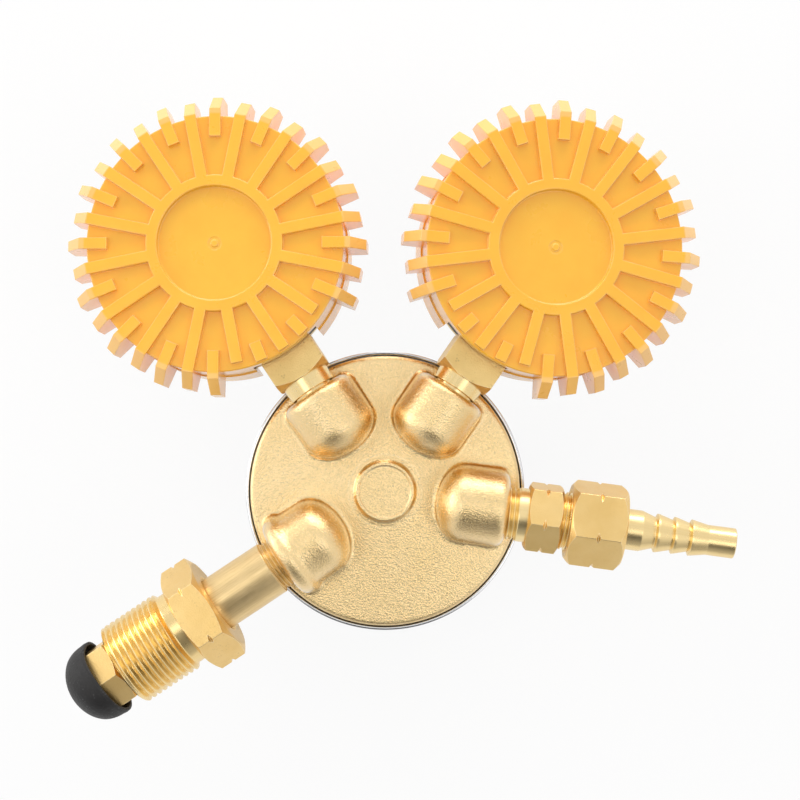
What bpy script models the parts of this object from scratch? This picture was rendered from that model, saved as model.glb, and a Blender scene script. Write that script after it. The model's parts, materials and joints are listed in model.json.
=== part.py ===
"""Two-gauge gas pressure regulator, as an assembly of separate pieces.

The regulator's main axis is Z, with the adjusting knob at the bottom and the forged body's back at the top.
The origin is the centre of the knob's flat front face. Four ports leave the body square to that axis, in one
plane: the inlet, the outlet and one port for each gauge. All lengths are in metres.
"""

import math
from dataclasses import dataclass

import bmesh
import bpy
from mathutils import Matrix, Vector

MM = 0.001

# ---------------------------------------------------------------- clearances
FIT_GAP = 0.3 * MM  # between neighbours that touch on the real regulator
SINK = 0.6 * MM  # how far shapes of one piece reach into each other before they are joined
CUT_MARGIN = 2.0 * MM  # how far a cutter stands out of what it cuts
MERGE = 0.00001

# ---------------------------------------------------------------- adjusting screw and spring
SCREW_R = 5.0 * MM
SCREW_PITCH = 1.25 * MM
SCREW_TURNS = 6
SPRING_LENGTH = 25.0 * MM
SPRING_R = 11.5 * MM
SPRING_WIRE_R = 1.4 * MM
SPRING_TURNS = 5.5
BUTTON_R = 15.0 * MM
BUTTON_THICKNESS = 4.0 * MM
BUTTON_PILOT = 1.6 * MM

# ---------------------------------------------------------------- knob
KNOB_R = 26.0 * MM
KNOB_HEIGHT = 22.0 * MM
KNOB_FLOOR = 5.0 * MM
KNOB_WALL = 3.2 * MM
KNOB_EDGE = 1.6 * MM
KNOB_HUB_R = 8.5 * MM
KNOB_HUB_HEIGHT = 8.0 * MM
KNOB_CLEARANCE = 2.5 * MM
KNOB_FLUTES = 12
KNOB_FLUTE_R = 3.4 * MM
KNOB_FLUTE_DEPTH = 1.7 * MM

# ---------------------------------------------------------------- bonnet
BONNET_WALL = 3.0 * MM
BONNET_LIP_WALL = 1.0 * MM
BONNET_LIP_DROP = 1.2 * MM
BONNET_BAND = 14.0 * MM
BONNET_BAND_STEP = 3.2 * MM
BONNET_FRONT_R = 20.0 * MM
BONNET_NECK_R = 12.5 * MM
BONNET_EDGE = 0.8 * MM
VENT_R = 1.8 * MM

# ---------------------------------------------------------------- diaphragm group
DIAPHRAGM_THICKNESS = 1.0 * MM
DIAPHRAGM_MARGIN = 2.5 * MM
SLIP_RING_THICKNESS = 1.0 * MM
SLIP_RING_WIDTH = 6.5 * MM
PLATE_R = 24.0 * MM
PLATE_THICKNESS = 1.5 * MM

# ---------------------------------------------------------------- body
BODY_R = 39.85 * MM
BODY_DEPTH = 9.0 * MM
BODY_EDGE = 0.7 * MM
BODY_CROWN = 1.0 * MM
BODY_BOSS_R = 9.2 * MM
BODY_BOSS_TOP_R = 7.2 * MM
BODY_BOSS_RISE = 1.6 * MM
PORT_RISE = 9.0 * MM  # the port plane above the body's rim
RECESS_R = 30.0 * MM
RECESS_DEPTH = 2.2 * MM
VALVE_CHAMBER_R = 7.0 * MM
VALVE_ROOF = 2.6 * MM
DRILLING_R = 1.3 * MM
BOSS_TIP = 15.3 * MM  # from the main axis to a boss's rounded inner end
BOSS_NOSE = 7.8 * MM
BOSS_R = 11.0 * MM
BOSS_FACE = 35.6 * MM  # from the main axis to a boss's outer face
BOSS_EDGE = 2.6 * MM
INLET_COLLAR_R = 13.0 * MM
INLET_COLLAR_LENGTH = 5.6 * MM
BORE_DEPTH = 12.5 * MM

# ---------------------------------------------------------------- valve
NOZZLE_FLATS = 13.0 * MM
NOZZLE_HEAD = 1.3 * MM
NOZZLE_PLUG = 2.5 * MM
NOZZLE_BORE_R = 1.7 * MM
POPPET_R = 3.0 * MM
POPPET_THICKNESS = 1.2 * MM
VALVE_PIN_R = 1.2 * MM
VALVE_SPRING_R = 2.2 * MM
VALVE_SPRING_WIRE_R = 0.25 * MM
VALVE_SPRING_TURNS = 3.0

# ---------------------------------------------------------------- inlet
INLET_THREAD_R = 7.4 * MM
NIPPLE_R = 8.05 * MM
NIPPLE_START = 39.0 * MM
NIPPLE_BORE_R = 3.6 * MM
INLET_NUT_START = 57.8 * MM
INLET_NUT_HEX = 10.4 * MM
INLET_NUT_FLATS = 28.4 * MM
INLET_NUT_NECK = 4.0 * MM
INLET_NUT_NECK_R = 11.15 * MM
INLET_NUT_THREAD = 18.2 * MM
INLET_NUT_THREAD_R = 12.55 * MM
INLET_NUT_PITCH = 1.814 * MM
INLET_NUT_CHAMFER = 2.2 * MM
INLET_NUT_TURN = math.radians(5)
NOSE_HEX = 5.6 * MM
NOSE_HEX_FLATS = 17.7 * MM
NOSE_HEX_TURN = math.radians(27)
NOSE_R = 7.6 * MM
NOSE_LENGTH = 8.5 * MM
SEAL_GROOVE_HALF = 0.9 * MM
SEAL_WIRE_R = 0.54 * MM
CAP_WALL = 2.6 * MM
CAP_R = 11.5 * MM
CAP_SKIRT = 0.18  # the straight part's share of the cap's length
FILTER_R = 3.2 * MM
FILTER_LENGTH = 8.0 * MM

# ---------------------------------------------------------------- outlet
OUTLET_THREAD_R = 7.65 * MM
ADAPTOR_NECK = 2.4 * MM
ADAPTOR_NECK_R = 7.8 * MM
ADAPTOR_HEX = 9.8 * MM
ADAPTOR_FLATS = 18.2 * MM
ADAPTOR_CHAMFER = 1.4 * MM
ADAPTOR_TURN = math.radians(-21)
ADAPTOR_THREAD_R = 8.4 * MM
ADAPTOR_THREAD_PITCH = 1.337 * MM
ADAPTOR_THREAD = 10.0 * MM
ADAPTOR_BORE_R = 3.2 * MM
OUTLET_NUT_GAP = 2.3 * MM
OUTLET_NUT_LENGTH = 16.2 * MM
OUTLET_NUT_FLATS = 21.9 * MM
OUTLET_NUT_CHAMFER = 2.4 * MM
OUTLET_NUT_TURN = math.radians(-15)
OUTLET_NUT_FLOOR = 2.2 * MM
BARB_SHANK_R = 5.9 * MM
BARB_SHANK = 4.9 * MM
BARB_COLLAR_R = 7.4 * MM
BARB_TAPER = 4.4 * MM
BARB_PEAKS = (5.65 * MM, 5.4 * MM, 5.3 * MM)
BARB_VALLEY_DROP = 1.3 * MM
BARB_PITCH = 5.0 * MM
BARB_TIP_R = 4.4 * MM
BARB_TIP = 8.0 * MM
BARB_BORE_R = 2.9 * MM
NOTCH_DEPTH = 0.9 * MM
NOTCH_HALF = 0.8 * MM
THREAD_DEPTH = 0.6  # a thread's depth over its pitch

# ---------------------------------------------------------------- gauges
GAUGE_DROOP = math.radians(4.5)  # how far the gauge ports point forward, below the port plane
GAUGE_RISE = 15.0 * MM  # the covers' backs above the stems' axes
COVER_DEPTH = 30.0 * MM
COVER_R = 36.7 * MM
COVER_STEP = 0.4 * MM
COVER_WALL = 2.0 * MM
COVER_FLOOR = 2.0 * MM
RIB_RISE = 1.7 * MM
RIB_WIDTH = 3.4 * MM
RIB_PAIRS = 16
HUB_RING_R = 19.5 * MM
HUB_RING_WIDTH = 3.2 * MM
SHORT_RIB_LENGTH = 6.1 * MM  # on the cover's back, inside its rim
LONG_RIB_REACH = 0.6 * MM  # the top edges and the teeth, beyond the cover's side
SHORT_RIB_REACH = 1.9 * MM
LONG_TOOTH_REACH = 5.2 * MM
SHORT_TOOTH_REACH = 6.2 * MM
TOOTH_CHAMFER = 6.0 * MM
TOOTH_DEPTH = 15.0 * MM
CASE_WALL = 1.0 * MM
BEZEL_LIP = 4.0 * MM
BEZEL_DEPTH = 3.4 * MM
BEZEL_INSET = 0.8 * MM
BEZEL_WALL = 1.0 * MM
LENS_THICKNESS = 1.5 * MM
DIAL_THICKNESS = 0.5 * MM
DIAL_HOLE_R = 1.6 * MM
DIAL_EDGE_GAP = 1.2 * MM
POINTER_LENGTH = 24.0 * MM
POINTER_TAIL = 9.0 * MM
POINTER_HALF_WIDTH = 1.3 * MM
POINTER_TIP_HALF = 0.35 * MM
POINTER_THICKNESS = 0.6 * MM
POINTER_HUB_R = 2.2 * MM
POINTER_TAIL_SPREAD = 1.4  # the tail's width over the pointer's
POINTER_ZERO = math.radians(45)  # from the stem's direction, at no pressure
STEM_FLATS = 16.2 * MM
STEM_THREAD_R = 6.6 * MM
STEM_COLLAR_R = 7.1 * MM
STEM_COLLAR = 3.2 * MM
STEM_SQUARE = 10.1 * MM
STEM_BLOCK_INSET = 1.3 * MM  # from the pressure tube's centre line in to the block's end
STEM_BLOCK_WIDTH = 13.0 * MM
STEM_BLOCK_DEPTH = 11.0 * MM
STEM_BORE_R = 2.5 * MM
STEM_SLOT_GAP = 1.4 * MM
STEM_SLOT_SIDE_GAP = 2.6 * MM

# ---------------------------------------------------------------- gauge movement
GEAR_MODULE = 0.35 * MM
PINION_TEETH = 12
SECTOR_TEETH = 72
GEAR_PRESSURE = math.radians(25)
GEAR_ADDENDUM = 0.8
GEAR_DEDENDUM = 1.15
GEAR_BACKLASH = 0.12 * MM
GEAR_THICKNESS = 1.2 * MM
POINTER_SWEEP = math.radians(270)
PINION_SHAFT_R = 0.6 * MM
SECTOR_SHAFT_R = 0.8 * MM
SECTOR_HUB_R = 2.2 * MM
ARM_LENGTH = 5.0 * MM
ARM_HALF_WIDTH = 1.3 * MM
ARM_PIN_R = 0.6 * MM
LINK_HALF_WIDTH = 1.2 * MM
LINK_THICKNESS = 0.6 * MM
LINK_END_GAP = 0.9 * MM  # from the pressure tube's inner wall to the link's end
LINK_END_TURN = math.radians(2.2)  # from the tube's tip back to the link's end
FRAME_PLATE = 0.8 * MM
FRAME_HALF_WIDTH = 7.5 * MM
FRAME_POST_R = 1.3 * MM
FRAME_POST_X = 5.5 * MM
FRAME_POST_Y = 5.2 * MM
FRAME_FOOT = 5.7 * MM  # how far the front plate reaches over the stem's block
TUBE_R = 24.0 * MM
TUBE_HALF_WIDTH = 1.6 * MM
TUBE_HALF_DEPTH = 4.5 * MM
TUBE_ROOT = math.radians(-17.8)
TUBE_TIP = math.radians(-212)
TIP_LUG_REACH = 2.4 * MM  # from the tube's inner wall
TIP_LUG_SPAN = math.radians(9)
TIP_LUG_THICKNESS = 1.5 * MM

# ---------------------------------------------------------------- facets
LARGE_STEPS = 40
MEDIUM_STEPS = 32
SMALL_STEPS = 24
TINY_STEPS = 12
SECTION_STEPS = 8
SPRING_POINTS = 10
NOSE_STEPS = 5
EDGE_STEPS = 3

# ---------------------------------------------------------------- places that follow from the sizes above
SCREW_TRAVEL = SCREW_TURNS * SCREW_PITCH
DOME_Z = KNOB_HEIGHT + SCREW_TRAVEL + KNOB_CLEARANCE
NECK_Z = KNOB_FLOOR + KNOB_HUB_HEIGHT + SCREW_TRAVEL + KNOB_CLEARANCE / 2
CHAMBER_Z = DOME_Z + BONNET_WALL
BUTTON_Z = CHAMBER_Z + FIT_GAP
SPRING_Z = BUTTON_Z + BUTTON_THICKNESS + FIT_GAP
PLATE_Z = SPRING_Z + SPRING_LENGTH + FIT_GAP
DIAPHRAGM_Z = PLATE_Z + PLATE_THICKNESS + FIT_GAP
SEAT_Z = DIAPHRAGM_Z + DIAPHRAGM_THICKNESS + FIT_GAP
SLIP_RING_Z = DIAPHRAGM_Z - FIT_GAP - SLIP_RING_THICKNESS
LEDGE_Z = SLIP_RING_Z - FIT_GAP
RIM_Z = SEAT_Z + BODY_DEPTH
PORT_Z = RIM_Z + PORT_RISE
DISC_TOP_Z = RIM_Z + BODY_CROWN
BODY_TOP_Z = DISC_TOP_Z + BODY_BOSS_RISE
RECESS_Z = SEAT_Z + RECESS_DEPTH
VALVE_ROOF_Z = BODY_TOP_Z - VALVE_ROOF
DIAPHRAGM_R = BODY_R - DIAPHRAGM_MARGIN
COVER_TOP_Z = PORT_Z + GAUGE_RISE
COVER_FLOOR_Z = COVER_TOP_Z - RIB_RISE
COVER_FRONT_Z = COVER_TOP_Z - COVER_DEPTH
CASE_R = COVER_R - COVER_WALL - FIT_GAP
STEM_REACH = CASE_R + FIT_GAP + STEM_SQUARE + STEM_COLLAR  # from the gauge's centre to the collar's end
STEM_BLOCK_END = TUBE_R - STEM_BLOCK_INSET
TUBE_INNER_R = TUBE_R - TUBE_HALF_WIDTH
LINK_END_R = TUBE_INNER_R - LINK_END_GAP - LINK_HALF_WIDTH
CASE_TOP_Z = COVER_FLOOR_Z - COVER_FLOOR - FIT_GAP
BEZEL_Z = COVER_FRONT_Z + BEZEL_INSET
LENS_Z = BEZEL_Z + BEZEL_WALL + FIT_GAP
CASE_FRONT_Z = BEZEL_Z + BEZEL_DEPTH + FIT_GAP
FRAME_Z = PORT_Z - STEM_BLOCK_DEPTH / 2 - FIT_GAP - FRAME_PLATE
DIAL_Z = FRAME_Z - FIT_GAP - DIAL_THICKNESS
POINTER_Z = DIAL_Z - FIT_GAP - 2 * POINTER_THICKNESS
GEAR_Z = FRAME_Z + FRAME_PLATE + 2 * FIT_GAP
LINK_Z = GEAR_Z + GEAR_THICKNESS + FIT_GAP
FRAME_BACK_Z = LINK_Z + LINK_THICKNESS + FIT_GAP
TIP_LUG_Z = LINK_Z + LINK_THICKNESS + FIT_GAP
PINION_R = GEAR_MODULE * PINION_TEETH / 2
SECTOR_R = GEAR_MODULE * SECTOR_TEETH / 2
SECTOR_X = -(PINION_R + SECTOR_R)
SECTOR_SWEEP = POINTER_SWEEP * PINION_TEETH / SECTOR_TEETH
ARM_ANGLE = math.pi + SECTOR_SWEEP / 2
BORE_FLOOR = BOSS_FACE - BORE_DEPTH
THREAD_END = BORE_FLOOR + 4 * DRILLING_R  # how far the threaded ends reach into the bores


@dataclass(frozen=True)
class Port:
    """One port of the body: its direction, droop and roll, and its axis's and boss's offsets to the side."""

    name: str
    azimuth: float
    droop: float
    roll: float
    offset: float
    boss_offset: float
    bore_r: float
    high_pressure: bool


INLET = Port(
    name="inlet",
    azimuth=math.radians(213.5),
    droop=0.0,
    roll=0.0,
    offset=0.1 * MM,
    boss_offset=0.15 * MM,
    bore_r=INLET_THREAD_R + FIT_GAP,
    high_pressure=True,
)
OUTLET = Port(
    name="outlet",
    azimuth=math.radians(352.3),
    droop=0.0,
    roll=0.0,
    offset=-1.05 * MM,
    boss_offset=-0.25 * MM,
    bore_r=OUTLET_THREAD_R + FIT_GAP,
    high_pressure=False,
)
LEFT = Port(
    name="left",
    azimuth=math.radians(123.45),
    droop=GAUGE_DROOP,
    roll=0.0,
    offset=0.95 * MM,
    boss_offset=0.95 * MM,
    bore_r=STEM_THREAD_R + FIT_GAP,
    high_pressure=True,
)
RIGHT = Port(
    name="right",
    azimuth=math.radians(55.5),
    droop=GAUGE_DROOP,
    roll=math.radians(3.5),
    offset=0.45 * MM,
    boss_offset=0.45 * MM,
    bore_r=STEM_THREAD_R + FIT_GAP,
    high_pressure=False,
)
PORTS = (INLET, OUTLET, LEFT, RIGHT)


@dataclass(frozen=True)
class GaugePlace:
    """Where a gauge stands: its port, its collar's gap to the boss and how far its cover is turned."""

    port: Port
    gap: float
    cover_turn: float

    @property
    def distance(self):
        """Return the distance of the gauge's centre along the port's axis."""
        return BOSS_FACE + self.gap + STEM_REACH


GAUGES = (
    GaugePlace(port=LEFT, gap=1.6 * MM, cover_turn=math.radians(0.3)),
    GaugePlace(port=RIGHT, gap=0.9 * MM, cover_turn=math.radians(-3.4)),
)

FINISHES = {
    "cast_brass": ((0.80, 0.60, 0.30), 0.45, 1.0),
    "turned_brass": ((0.83, 0.66, 0.36), 0.25, 1.0),
    "chrome": ((0.75, 0.76, 0.78), 0.12, 1.0),
    "steel": ((0.60, 0.61, 0.63), 0.35, 1.0),
    "bronze": ((0.55, 0.38, 0.20), 0.6, 1.0),
    "cover": ((1.0, 0.52, 0.06), 0.35, 0.0),
    "black_plastic": ((0.03, 0.03, 0.03), 0.45, 0.0),
    "rubber": ((0.03, 0.03, 0.03), 0.7, 0.0),
    "dial": ((0.92, 0.92, 0.90), 0.5, 0.0),
    "lens": ((0.85, 0.90, 0.92), 0.05, 0.0),
}


# ================================================================ tools
def clear_scene():
    """Remove what the scene already holds."""
    for scene_object in list(bpy.data.objects):
        bpy.data.objects.remove(scene_object, do_unlink=True)


def make_collection(name):
    """Return a new collection in the scene."""
    collection = bpy.data.collections.new(name)
    bpy.context.scene.collection.children.link(collection)
    return collection


def make_finish(piece_name, finish_name):
    """Return a material for one piece."""
    colour, roughness, metallic = FINISHES[finish_name]
    material = bpy.data.materials.new(piece_name)
    material.use_nodes = True
    shader = material.node_tree.nodes["Principled BSDF"]
    shader.inputs["Base Color"].default_value = (*colour, 1.0)
    shader.inputs["Roughness"].default_value = roughness
    shader.inputs["Metallic"].default_value = metallic
    return material


def finish_piece(piece, finish_name):
    """Give a piece its own material."""
    piece.data.materials.append(make_finish(piece.name, finish_name))
    return piece


def make_tool(tool):
    """Turn an object into a hidden helper that only joins or cuts other pieces."""
    PARTS.objects.unlink(tool)
    TOOLS.objects.link(tool)
    tool.hide_render = True
    tool.display_type = "WIRE"
    return tool


def combine(piece, tool, operation):
    """Add a Boolean of the hidden tool to the piece."""
    modifier = piece.modifiers.new(tool.name, "BOOLEAN")
    modifier.operation = operation
    modifier.solver = "EXACT"
    modifier.object = make_tool(tool)
    return piece


def place(new_object, parent=None, location=(0, 0, 0), rotation=(0, 0, 0)):
    """Link an object to the parts, under its parent."""
    PARTS.objects.link(new_object)
    new_object.parent = parent
    new_object.location = location
    new_object.rotation_euler = rotation
    return new_object


def turned(name, profile, steps, parent=None, location=(0, 0, 0), closed=False):
    """Make a turned piece from (radius, height) points that run down its outer side."""
    mesh = bpy.data.meshes.new(name)
    vertices = [(radius, 0, height) for radius, height in profile]
    edges = [(index, index + 1) for index in range(len(profile) - 1)]
    if closed:
        edges.append((len(profile) - 1, 0))
    mesh.from_pydata(vertices, edges, [])
    piece = place(bpy.data.objects.new(name, mesh), parent, location)
    screw = piece.modifiers.new("turn", "SCREW")
    screw.axis = "Z"
    screw.angle = math.tau
    screw.steps = steps
    screw.render_steps = steps
    screw.use_merge_vertices = True
    screw.merge_threshold = MERGE
    screw.use_smooth_shade = True
    return piece


def rod(name, radius, low, high, steps, parent=None, location=(0, 0, 0)):
    """Make a plain cylinder along its own Z."""
    return turned(name, [(0, high), (radius, high), (radius, low), (0, low)], steps, parent, location)


def mesh_of_curve(curve_object):
    """Replace a curve object with a closed mesh object in the same place."""
    bpy.context.view_layer.update()
    evaluated = curve_object.evaluated_get(bpy.context.evaluated_depsgraph_get())
    mesh = bpy.data.meshes.new_from_object(evaluated)
    shape = bmesh.new()
    shape.from_mesh(mesh)
    bmesh.ops.remove_doubles(shape, verts=shape.verts, dist=MERGE / 10)
    bmesh.ops.recalc_face_normals(shape, faces=shape.faces)
    shape.to_mesh(mesh)
    shape.free()
    name = curve_object.name
    parent = curve_object.parent
    local = curve_object.matrix_local.copy()
    curve = curve_object.data
    bpy.data.objects.remove(curve_object)
    bpy.data.curves.remove(curve)
    piece = bpy.data.objects.new(name, mesh)
    PARTS.objects.link(piece)
    piece.parent = parent
    piece.matrix_local = local
    return piece


def plate(name, outlines, low, high, parent=None, location=(0, 0, 0), rotation=(0, 0, 0)):
    """Make a flat piece between two heights from its outline, and the outlines of its holes."""
    curve = bpy.data.curves.new(name, "CURVE")
    curve.dimensions = "2D"
    curve.fill_mode = "BOTH"
    curve.extrude = (high - low) / 2
    for outline in outlines:
        spline = curve.splines.new("POLY")
        spline.points.add(len(outline) - 1)
        for point, (x, y) in zip(spline.points, outline):
            point.co = (x, y, 0, 1)
        spline.use_cyclic_u = True
    middle = Matrix.Translation((0, 0, (high + low) / 2))
    curve_object = place(bpy.data.objects.new(name, curve), parent, location, rotation)
    piece = mesh_of_curve(curve_object)
    piece.data.transform(middle)
    return piece


def wire(name, points, radius, parent=None):
    """Make a round wire through the points."""
    curve = bpy.data.curves.new(name, "CURVE")
    curve.dimensions = "3D"
    curve.bevel_depth = radius
    curve.bevel_resolution = 1
    curve.use_fill_caps = True
    spline = curve.splines.new("POLY")
    spline.points.add(len(points) - 1)
    for point, place_on_wire in zip(spline.points, points):
        point.co = (*place_on_wire, 1)
    return mesh_of_curve(place(bpy.data.objects.new(name, curve), parent))


def coil(name, radius, wire_r, low, high, turns):
    """Make a coil spring between two heights."""
    count = round(turns * SPRING_POINTS)
    rise = high - low - 2 * wire_r
    points = []
    for index in range(count + 1):
        angle = math.tau * turns * index / count
        height = low + wire_r + rise * index / count
        points.append((radius * math.cos(angle), radius * math.sin(angle), height))
    return wire(name, points, wire_r)


def along_angle(radius, angle):
    """Return the point at a radius and an angle."""
    return (radius * math.cos(angle), radius * math.sin(angle))


def circle(radius, steps, centre=(0, 0)):
    """Return the points of a circle."""
    return arc(radius, 0, math.tau * (steps - 1) / steps, steps - 1, centre)


def arc(radius, start, end, steps, centre=(0, 0)):
    """Return points along an arc, both ends among them."""
    angles = [start + (end - start) * index / steps for index in range(steps + 1)]
    points = [along_angle(radius, angle) for angle in angles]
    return [(centre[0] + x, centre[1] + y) for x, y in points]


def rounded_edge(radius, height, edge, inward):
    """Return (radius, height) points of a rounded outer edge, below a face (inward 1) or above it (-1)."""
    points = []
    for index in range(EDGE_STEPS + 1):
        turn = math.pi / 2 * index / EDGE_STEPS
        drop = edge * (1 - math.cos(turn))
        points.append((radius - edge + edge * math.sin(turn), height - inward * drop))
    return points if inward > 0 else points[::-1]


def polygon(sides, across_flats, turn=0.0):
    """Return the corners of a regular polygon with a flat square to +X, turned by an angle."""
    corner_r = across_flats / 2 / math.cos(math.pi / sides)
    step = math.tau / sides
    return [along_angle(corner_r, turn + (index + 0.5) * step) for index in range(sides)]


def thread_profile(major_r, pitch, start, end):
    """Return (radius, height) points of parallel V grooves, from the high end to the low end."""
    depth = pitch * THREAD_DEPTH
    count = max(1, int((start - end) / pitch))
    step = (start - end) / count
    points = [(major_r - depth, start)]
    for index in range(count):
        points.append((major_r, start - step * (index + 0.5)))
        points.append((major_r - depth, start - step * (index + 1)))
    return points


def notched_hex(name, across_flats, low, high, edge, turn, parent):
    """Make a hexagonal block with chamfered corners and a V notch across each corner."""
    corner_r = across_flats / 2 / math.cos(math.pi / 6)
    middle = (low + high) / 2
    profile = [
        (0, high),
        (corner_r - edge, high),
        (corner_r - edge * 0.3, high - edge * 0.45),
        (corner_r + FIT_GAP, high - edge),
        (corner_r + FIT_GAP, middle + NOTCH_HALF),
        (corner_r - NOTCH_DEPTH, middle),
        (corner_r + FIT_GAP, middle - NOTCH_HALF),
        (corner_r + FIT_GAP, low + edge),
        (corner_r - edge * 0.3, low + edge * 0.45),
        (corner_r - edge, low),
        (0, low),
    ]
    block = turned(name, profile, MEDIUM_STEPS, parent)
    outline = polygon(6, across_flats, turn)
    prism = plate(name + "_prism", [outline], low - CUT_MARGIN, high + CUT_MARGIN, parent)
    return combine(block, prism, "INTERSECT")


def port_frame(port):
    """Return an empty on the port's axis: its Z points out of the port and its X up, but for the roll."""
    level = Vector((math.cos(port.azimuth), math.sin(port.azimuth), 0))
    beside = Vector((-math.sin(port.azimuth), math.cos(port.azimuth), 0))
    tilt = Matrix.Rotation(port.droop, 3, beside)
    outward = tilt @ level
    up = Matrix.Rotation(port.roll, 3, outward) @ tilt @ Vector((0, 0, 1))
    lift = Vector((0, 0, PORT_Z + BOSS_FACE * math.tan(port.droop)))
    empty = bpy.data.objects.new(port.name + "_port", None)
    PARTS.objects.link(empty)
    rotation = Matrix((up, outward.cross(up), outward)).transposed().to_4x4()
    empty.matrix_world = Matrix.Translation(lift + beside * port.offset) @ rotation
    return empty


# ================================================================ body
def boss_half_outline(port):
    """Return (radius, distance) points of a boss, from its outer face to its rounded inner end."""
    points = [(0, BOSS_FACE)]
    nose_start = BOSS_TIP + BOSS_NOSE
    if port is INLET:
        collar_end = BOSS_FACE - INLET_COLLAR_LENGTH
        points += rounded_edge(INLET_COLLAR_R, BOSS_FACE, BOSS_EDGE, 1)
        points += [(INLET_COLLAR_R, collar_end), (BOSS_R, collar_end - (INLET_COLLAR_R - BOSS_R))]
    else:
        points += rounded_edge(BOSS_R, BOSS_FACE, BOSS_EDGE, 1)
    for index in range(NOSE_STEPS):
        turn = math.pi / 2 * index / NOSE_STEPS
        points.append((BOSS_R * math.cos(turn), nose_start - BOSS_NOSE * math.sin(turn)))
    points.append((0, BOSS_TIP))
    return points


def boss_blank(port):
    """Make a boss, round above its axis and straight-sided below it, as one closed shape."""
    shape = bmesh.new()
    low = RIM_Z - SINK - PORT_Z
    rings = []
    for radius, distance in boss_half_outline(port)[1:]:
        section = [(radius, low), *arc(radius, 0, math.pi, TINY_STEPS), (-radius, low)]
        rings.append([shape.verts.new((distance, across, height)) for across, height in section])
    shape.faces.new(rings[0])
    for outer, inner in zip(rings, rings[1:]):
        for index in range(len(outer)):
            after = (index + 1) % len(outer)
            shape.faces.new((outer[index], outer[after], inner[after], inner[index]))
    bmesh.ops.remove_doubles(shape, verts=shape.verts, dist=MERGE)
    bmesh.ops.recalc_face_normals(shape, faces=shape.faces)
    mesh = bpy.data.meshes.new(port.name + "_boss")
    shape.to_mesh(mesh)
    shape.free()
    beside = Vector((-math.sin(port.azimuth), math.cos(port.azimuth), 0)) * port.boss_offset
    middle = beside + Vector((0, 0, PORT_Z))
    return place(bpy.data.objects.new(mesh.name, mesh), None, middle, (0, 0, port.azimuth))


def cut_port(body, port, frame):
    """Cut a port's threaded bore and the drilling that feeds it."""
    drilling_at = BORE_FLOOR + 2 * DRILLING_R
    outward = Vector((math.cos(port.azimuth), math.sin(port.azimuth), 0))
    drill_top = PORT_Z - port.bore_r / 2
    bore_top = BOSS_FACE + CUT_MARGIN
    bore = rod(port.name + "_bore", port.bore_r, BORE_FLOOR, bore_top, SMALL_STEPS, frame)
    combine(body, bore, "DIFFERENCE")
    if port.high_pressure:
        gallery_z = (VALVE_ROOF_Z + RECESS_Z) / 2
        down = rod(port.name + "_down", DRILLING_R, gallery_z - DRILLING_R / 2, drill_top, TINY_STEPS)
        down.location = outward * drilling_at
        combine(body, down, "DIFFERENCE")
        gallery = rod(port.name + "_gallery", DRILLING_R, VALVE_CHAMBER_R / 2, drilling_at, TINY_STEPS)
        gallery.location = (0, 0, gallery_z)
        gallery.rotation_euler = (0, math.pi / 2, port.azimuth)
        return combine(body, gallery, "DIFFERENCE")
    down = rod(port.name + "_down", DRILLING_R, SEAT_Z, drill_top, TINY_STEPS)
    down.location = outward * drilling_at
    return combine(body, down, "DIFFERENCE")


def build_body(frames):
    """Make the forged body with its bosses, bores, valve chamber and diaphragm recess."""
    profile = [
        (0, BODY_TOP_Z),
        (BODY_BOSS_TOP_R, BODY_TOP_Z),
        (BODY_BOSS_R - FIT_GAP, BODY_TOP_Z - BODY_BOSS_RISE / 2),
        (BODY_BOSS_R, DISC_TOP_Z),
        (BODY_R - BODY_EDGE, RIM_Z),
        (BODY_R, RIM_Z - BODY_EDGE),
        (BODY_R, SEAT_Z),
        (RECESS_R, SEAT_Z),
        (RECESS_R, RECESS_Z),
        (VALVE_CHAMBER_R, RECESS_Z),
        (VALVE_CHAMBER_R, VALVE_ROOF_Z),
        (0, VALVE_ROOF_Z),
    ]
    body = turned("body", profile, LARGE_STEPS)
    for port in PORTS:
        combine(body, boss_blank(port), "UNION")
    for port in PORTS:
        cut_port(body, port, frames[port.name])
    return finish_piece(body, "cast_brass")


# ================================================================ bonnet, knob and spring
def bell(inner_r, outer_r, low, high):
    """Return (radius, height) points of a bell's curve, from its wide end down to its narrow end."""
    points = []
    for index in range(NOSE_STEPS, -1, -1):
        turn = math.pi / 2 * index / NOSE_STEPS
        radius = inner_r + (outer_r - inner_r) * math.sin(turn)
        points.append((radius, low + (high - low) * (1 - math.cos(turn))))
    return points


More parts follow.
